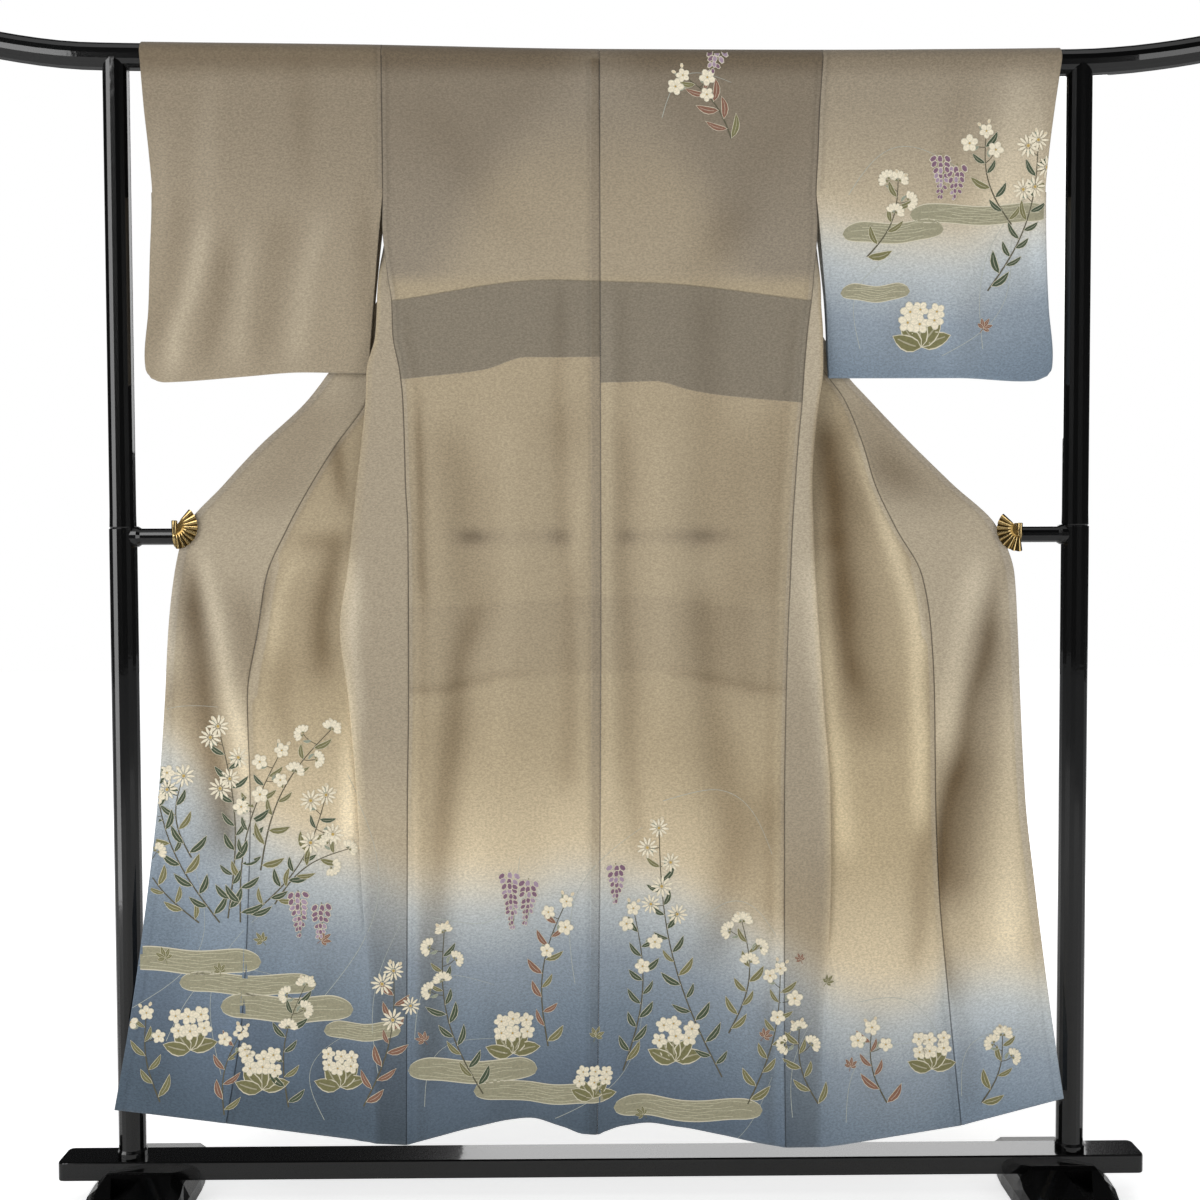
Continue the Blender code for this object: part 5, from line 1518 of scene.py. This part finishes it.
# %% Where each motif goes
# Stems: foot x, z, tip x, z, bend, leaves, their dye, flowers and their kind
STEMS = (
    (-560, 424, -652, 690, 0.10, 14, "green", 5, "plum"),
     (-548, 430, -560, 712, -0.06, 14, "green", 5, "aster"),
    (-530, 424, -468, 676, 0.08, 13, "green", 5, "plum"),
     (-520, 430, -404, 610, -0.10, 11, "green", 4, "aster"),
    (-590, 424, -684, 560, 0.10, 8, "olive", 3, "umbel"),
     (-500, 500, -396, 706, 0.10, 9, "olive", 4, "umbel"),
    (-600, 520, -610, 640, 0.14, 6, "green", 2, "aster"),
     (-480, 450, -372, 530, 0.12, 6, "olive", 3, "umbel"),
    (-650, 160, -668, 292, 0.08, 6, "olive", 3, "plum"), (-556, 140, -530, 262, 0.10, 6, "rust", 3, "plum"),
    (-462, 150, -436, 330, 0.10, 9, "green", 4, "umbel"),
     (-352, 150, -306, 352, -0.08, 10, "rust", 4, "aster"),
    (-176, 168, -232, 408, 0.10, 13, "green", 5, "umbel"), (-80, 236, -52, 452, 0.10, 10, "rust", 4, "plum"),
    (30, 200, 46, 440, -0.09, 12, "green", 4, "plum"), (176, 190, 84, 560, 0.07, 18, "green", 6, "aster"),
    (186, 255, 206, 420, -0.12, 8, "olive", 4, "umbel"), (214, 150, 262, 352, -0.07, 9, "olive", 4, "plum"),
    (318, 150, 290, 262, 0.10, 6, "olive", 3, "umbel"), (420, 150, 398, 262, 0.10, 6, "rust", 3, "plum"),
    (560, 150, 590, 250, -0.10, 5, "olive", 3, "umbel"),
     (566, 1344, 636, 1560, -0.10, 13, "green", 5, "aster"),
    (600, 1440, 560, 1572, 0.12, 7, "green", 3, "plum"),
     (388, 1392, 432, 1500, -0.12, 6, "olive", 4, "umbel"),
    (190, 1560, 120, 1650, -0.10, 8, "rust", 4, "plum"),
)
TUFTS = (
    (-604, 236, 1.0), (-500, 176, 1.0), (-386, 178, 0.95), (-132, 226, 1.0), (108, 214, 1.05),
     (-14, 160, 0.85),
    (470, 1262, 1.1), (486, 200, 0.9),
)
WISTERIA = (
    (-446, 470, 66, 0.05), (-412, 452, 52, -0.04), (-136, 498, 84, 0.06), (-108, 486, 66, -0.05),
    (20, 508, 58, 0.04), (494, 1540, 62, 0.04), (518, 1526, 48, -0.05), (170, 1690, 36, -0.3),
)
MAPLES = (
    (-640, 372, 19, 1.9, "olive"), (-676, 470, 15, 2.6, "rust"), (-412, 396, 17, 0.6, "rust"),
    (-498, 396, 16, 2.2, "olive"), (-262, 248, 16, 2.2, "rust"), (-10, 252, 17, 1.2, "olive"),
    (238, 250, 16, 0.9, "rust"), (60, 132, 15, 2.4, "olive"), (560, 1290, 17, 1.0, "rust"),
    (-560, 352, 15, 1.7, "olive"), (366, 204, 15, 1.4, "rust"), (330, 330, 14, 0.8, "olive"),
     (292, 364, 12, 2.0, "rust"),
)
MISTS = (
    (-700, -500, 372, 36, -0.04), (-620, -420, 336, 30, -0.03), (-560, -366, 300, 38, -0.04),
    (-410, -296, 262, 26, 0.0), (-286, -96, 204, 34, -0.02), (-190, 10, 172, 30, -0.04),
     (16, 236, 146, 32, -0.03),
    (352, 500, 1424, 30, 0.05), (450, 656, 1452, 28, 0.02), (350, 452, 1340, 24, 0.02),
)
GRASSES = (
    (-688, 300, -600, 520, -0.25), (-640, 250, -440, 330, 0.3), (-560, 200, -470, 460, 0.2),
     (-420, 300, -372, 640, -0.2),
    (-410, 130, -370, 260, 0.3), (-276, 250, -160, 330, 0.4), (-250, 430, -120, 520, -0.35),
     (-70, 130, 60, 330, -0.2),
    (-40, 330, 60, 560, 0.2), (90, 600, 250, 520, 0.3), (140, 420, 256, 400, 0.35), (60, 100, 250, 190, -0.3),
    (-262, 150, -160, 250, 0.3), (360, 120, 480, 240, 0.3), (380, 300, 500, 240, 0.25),
     (280, 130, 312, 280, 0.1),
    (530, 160, 620, 260, 0.3), (380, 1260, 440, 1400, 0.25), (500, 1250, 600, 1420, -0.2),
     (560, 1260, 640, 1500, 0.15),
    (360, 1480, 520, 1520, 0.3), (90, 1590, 190, 1640, 0.35), (-330, 200, -296, 420, 0.1),
     (-686, 640, -560, 740, 0.3),
)


def finish_painting(bm, name):
    bm.normal_update()
    bmesh.ops.reverse_faces(bm, faces=[face for face in bm.faces if face.normal.y > 0])
    piece = add_piece(bm, name, DYE)
    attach(piece, "root")


DYE = yuzen_dye()
bm = start_painting()
for x0, z0, x1, z1, bend in GRASSES:
    ribbon(bm, arc(x0, z0, x1, z1, bend), (0.9, 0.5), "grass", LIFT["grass"])
for x0, x1, z, height, slope in MISTS:
    mist(bm, x0, x1, z, height, slope)
finish_painting(bm, "dye_mist_and_grass")

bm = start_painting()
for number, (x0, z0, x1, z1, bend, leaves, dye, flowers, kind) in enumerate(STEMS):
    stem(bm, x0, z0, x1, z1, bend, random.Random(number), leaves, dye, flowers, kind)
finish_painting(bm, "dye_plum_stems")

bm = start_painting()
for number, (x, z, size) in enumerate(TUFTS):
    tuft(bm, x, z, random.Random(40 + number), size)
for number, (x, z, length, lean) in enumerate(WISTERIA):
    wisteria(bm, x, z, length, lean, random.Random(80 + number))
for x, z, radius, angle, dye in MAPLES:
    maple(bm, x, z, radius, angle, dye)
finish_painting(bm, "dye_tufts_and_sprays")

# %% [markdown]
# ## The clips
# Each clip is a half-open fan, stamped from brass sheet and riveted to a spring jaw that grips the bar. The
# stamping gives rounded ribs with sharp grooves between them, a bead where the ribs meet the pivot plate,
# and a scalloped rim. Each vertex keeps how deep in a groove it lies, and the gold is coloured darker the
# deeper it lies and round the pivot. The jaw is a small section spun round the bar.

# %% Fan clips
CLIP_RADIUS = 33.0
CLIP_PIVOT = 3.5
CLIP_RIBS = 9
CLIP_FACE = -17.1
BEAD_RADIUS = 12.2
JAW_INNER = 12.3
JAW_OUTER = 16.5
JAW_WIDTH = 7.6
JAW_START = -205.0
JAW_TURN = 300.0
BARREL_RADIUS = 4.2
BARREL_LENGTH = 20.0
PLATE = 1.1
# The jaw and the barrel sit a little outside the fan's apex
JAW_OFFSET = 1.5
# Apex x, z and the angles at which the ribs start and end
CLIP_FANS = {"left": (-618.5, 1003.5, -88.0, 50.0), "right": (611.5, 996.5, 137.0, 278.0)}


def fan_plate(bm, side):
    """The ribbed plate: a flat grid bent round the apex and pressed into ribs."""
    apex_x, apex_z, start, end = CLIP_FANS[side]
    groove = bm.verts.layers.float["groove"]
    made = bmesh.ops.create_grid(bm, x_segments=CLIP_RIBS * 10, y_segments=20, size=0.5)["verts"]
    for vert in made:
        around, out = vert.co.x + 0.5, vert.co.y + 0.5
        angle = math.radians(start + (end - start) * around)
        radius = CLIP_PIVOT + (CLIP_RADIUS - CLIP_PIVOT) * out
        rib = abs(math.sin(math.pi * around * CLIP_RIBS)) ** 0.7
        ribbed = float(ease((radius - BEAD_RADIUS - 0.8) / 1.4))
        guard = around * CLIP_RIBS < 1.0 or around * CLIP_RIBS > CLIP_RIBS - 1.0
        rib = max(rib, 0.6) if guard and 0.04 < around < 0.96 else rib
        raised = 0.8 * float(bump(radius - BEAD_RADIUS, 0.8))
        raised += ribbed * (0.2 + 1.9 * rib) * (0.5 + 0.5 * out)
        radius = radius * (1.0 + 0.04 * (rib - 1.0) * ribbed * out)
        place = (apex_x + radius * math.cos(angle), CLIP_FACE - raised, apex_z + radius * math.sin(angle))
        vert.co = Vector(place) * MM
        vert[groove] = ribbed * (1.0 - rib) + 0.25 * (1.0 - ribbed)
    bmesh.ops.recalc_face_normals(bm, faces=bm.faces[:])
    bmesh.ops.solidify(bm, geom=bm.faces[:], thickness=PLATE * MM)


def jaw(bm, side):
    """A small section spun round the crossbar, open at the back like a spring."""
    middle = Vector((CLIP_FANS[side][0] + SIDES[side] * JAW_OFFSET, 0.0, CROSSBAR_HEIGHT)) * MM
    made = bmesh.ops.create_circle(bm, cap_ends=True, segments=16, radius=1.0)["verts"]
    for vert in made:
        long = math.copysign(abs(vert.co.x) ** 0.5, vert.co.x) * JAW_WIDTH / 2
        deep = math.copysign(abs(vert.co.y) ** 0.5, vert.co.y) * (JAW_OUTER - JAW_INNER) / 2
        vert.co = middle + Vector((long, (JAW_INNER + JAW_OUTER) / 2 + deep, 0.0)) * MM
    face = made[0].link_faces[0]
    section = made + list(face.edges) + [face]
    bmesh.ops.rotate(bm, verts=made, cent=middle, matrix=Matrix.Rotation(math.radians(JAW_START), 3, "X"))
    bmesh.ops.spin(bm, geom=section, cent=middle, axis=(1, 0, 0), angle=math.radians(JAW_TURN), steps=40)


def barrel(bm, side):
    """The spring's barrel between the fan and the jaw."""
    apex_x, apex_z = CLIP_FANS[side][:2]
    middle = Vector((apex_x + SIDES[side] * JAW_OFFSET, CLIP_FACE, apex_z - 1.0)) * MM
    made = bmesh.ops.create_cone(bm, cap_ends=True, segments=28, radius1=BARREL_RADIUS * MM,
                                 radius2=BARREL_RADIUS * MM, depth=BARREL_LENGTH * MM,
                                 matrix=Matrix.Translation(middle))["verts"]
    rims = {edge: None for vert in made for edge in vert.link_edges
            if abs(edge.verts[0].co.z - edge.verts[1].co.z) < 1e-6}
    bmesh.ops.bevel(bm, geom=list(rims), offset=1.1 * MM, segments=4, profile=0.5, affect="EDGES",
                    material=-1)


def fan_clip(side, material):
    bm = bmesh.new()
    bm.verts.layers.float.new("groove")
    fan_plate(bm, side)
    jaw(bm, side)
    barrel(bm, side)
    bmesh.ops.recalc_face_normals(bm, faces=bm.faces[:])
    piece = add_piece(bm, f"clip_fan_{side}", material)
    piece.data.set_sharp_from_angle(angle=math.radians(50.0))
    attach(piece, "root")
    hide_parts(f"clip_{side}")


for side in SIDES:
    fan_clip(side, GOLD)


# %% [markdown]
# ## Studio
# A pale floor, a pale surround and large soft lights. The camera stands two metres away at chest height,
# looks almost straight at the garment and is tilted down by about two degrees, as in the photograph.

# %% Floor and light
WHITE = (1.0, 1.0, 1.0, 1.0)
# Name, place, what it faces, width, height and power of each soft light
LIGHTS = (
    ("key_softbox", (-2.3, -2.6, 2.3), (0.0, 0.0, 0.95), 1.4, 2.2, 45.0),
    ("fill_softbox", (2.6, -2.7, 1.5), (0.0, 0.0, 0.9), 1.4, 2.0, 24.0),
    ("strip_left", (-2.2, -0.9, 1.1), (-0.7, 0.0, 0.9), 0.16, 2.4, 5.0),
    ("back_softbox", (0.6, 3.0, 2.2), (0.0, 0.0, 0.9), 2.4, 1.8, 36.0),
    ("top_softbox", (0.0, -0.2, 3.6), (0.0, 0.0, 0.0), 3.4, 2.4, 14.0),
)
def studio_floor():
    made, tree, shader = new_material("Pale studio floor", Roughness=0.9, Specular_IOR_Level=0.1,
                                      Emission_Color=WHITE)
    place = own_place(tree)
    pale = ramp(tree, noise(tree, place, 2.0, 3.0), ((0.3, "#F4F4F3"), (0.7, "#F8F8F7")))
    away = add(tree, "ShaderNodeVectorMath", {0: place}, operation="LENGTH").outputs["Value"]
    glow = remap(tree, calc(tree, "DIVIDE", away, 2.2), 0.2, 1.0, 0.5, 1.0)
    mirrored = add(tree, "ShaderNodeLightPath").outputs["Is Glossy Ray"]
    glow = times(tree, glow, calc(tree, "MULTIPLY_ADD", mirrored, -0.95, 1.0))
    wire(shader, Base_Color=pale, Emission_Strength=glow)
    bm = bmesh.new()
    bmesh.ops.create_grid(bm, x_segments=8, y_segments=8, size=9.0)
    add_piece(bm, "studio_floor", made)


def soft_light(name, place, target, width, height, power):
    lamp = bpy.data.lights.new(name, "AREA")
    lamp.shape = "RECTANGLE"
    lamp.size = width
    lamp.size_y = height
    lamp.energy = power
    made = bpy.data.objects.new(name, lamp)
    made.location = place
    made.rotation_euler = (Vector(target) - Vector(place)).to_track_quat("-Z", "Y").to_euler()
    bpy.context.scene.collection.objects.link(made)


def studio_world():
    world = bpy.data.worlds.new("Pale surround")
    world.use_nodes = True
    tree = world.node_tree
    tree.nodes.clear()
    seen, dim, dark = (
        add(tree, "ShaderNodeBackground", {"Color": colour, "Strength": strength}).outputs[0]
        for colour, strength in ((WHITE, 1.0), (linear("#F2F4F8"), 0.21), (linear("#F2F4F8"), 0.03)))
    path = add(tree, "ShaderNodeLightPath")
    shown = dim
    for ray, other in (("Is Glossy Ray", dark), ("Is Camera Ray", seen)):
        shown = add(tree, "ShaderNodeMixShader", {0: path.outputs[ray], 1: shown, 2: other}).outputs[0]
    add(tree, "ShaderNodeOutputWorld", {"Surface": shown})
    bpy.context.scene.world = world


studio_floor()
studio_world()
for light in LIGHTS:
    soft_light(*light)
bpy.context.scene.view_settings.view_transform = "Standard"

# %% Camera
lens = bpy.data.cameras.new("camera")
lens.sensor_width = 36.0
lens.lens = 42.0
lens.clip_end = 60.0
camera = bpy.data.objects.new("camera", lens)
right = Vector((0.99994096, -0.01041568, -0.00309783))
above = Vector((0.00348495, 0.03735719, 0.9992959))
behind = -Vector((0.01029262, 0.99924769, -0.03739128))
turning = Matrix((right, above, behind)).transposed()
camera.matrix_world = Matrix.Translation((-0.0226, -2.0616, 0.971)) @ turning.to_4x4()
bpy.context.scene.collection.objects.link(camera)
bpy.context.scene.camera = camera
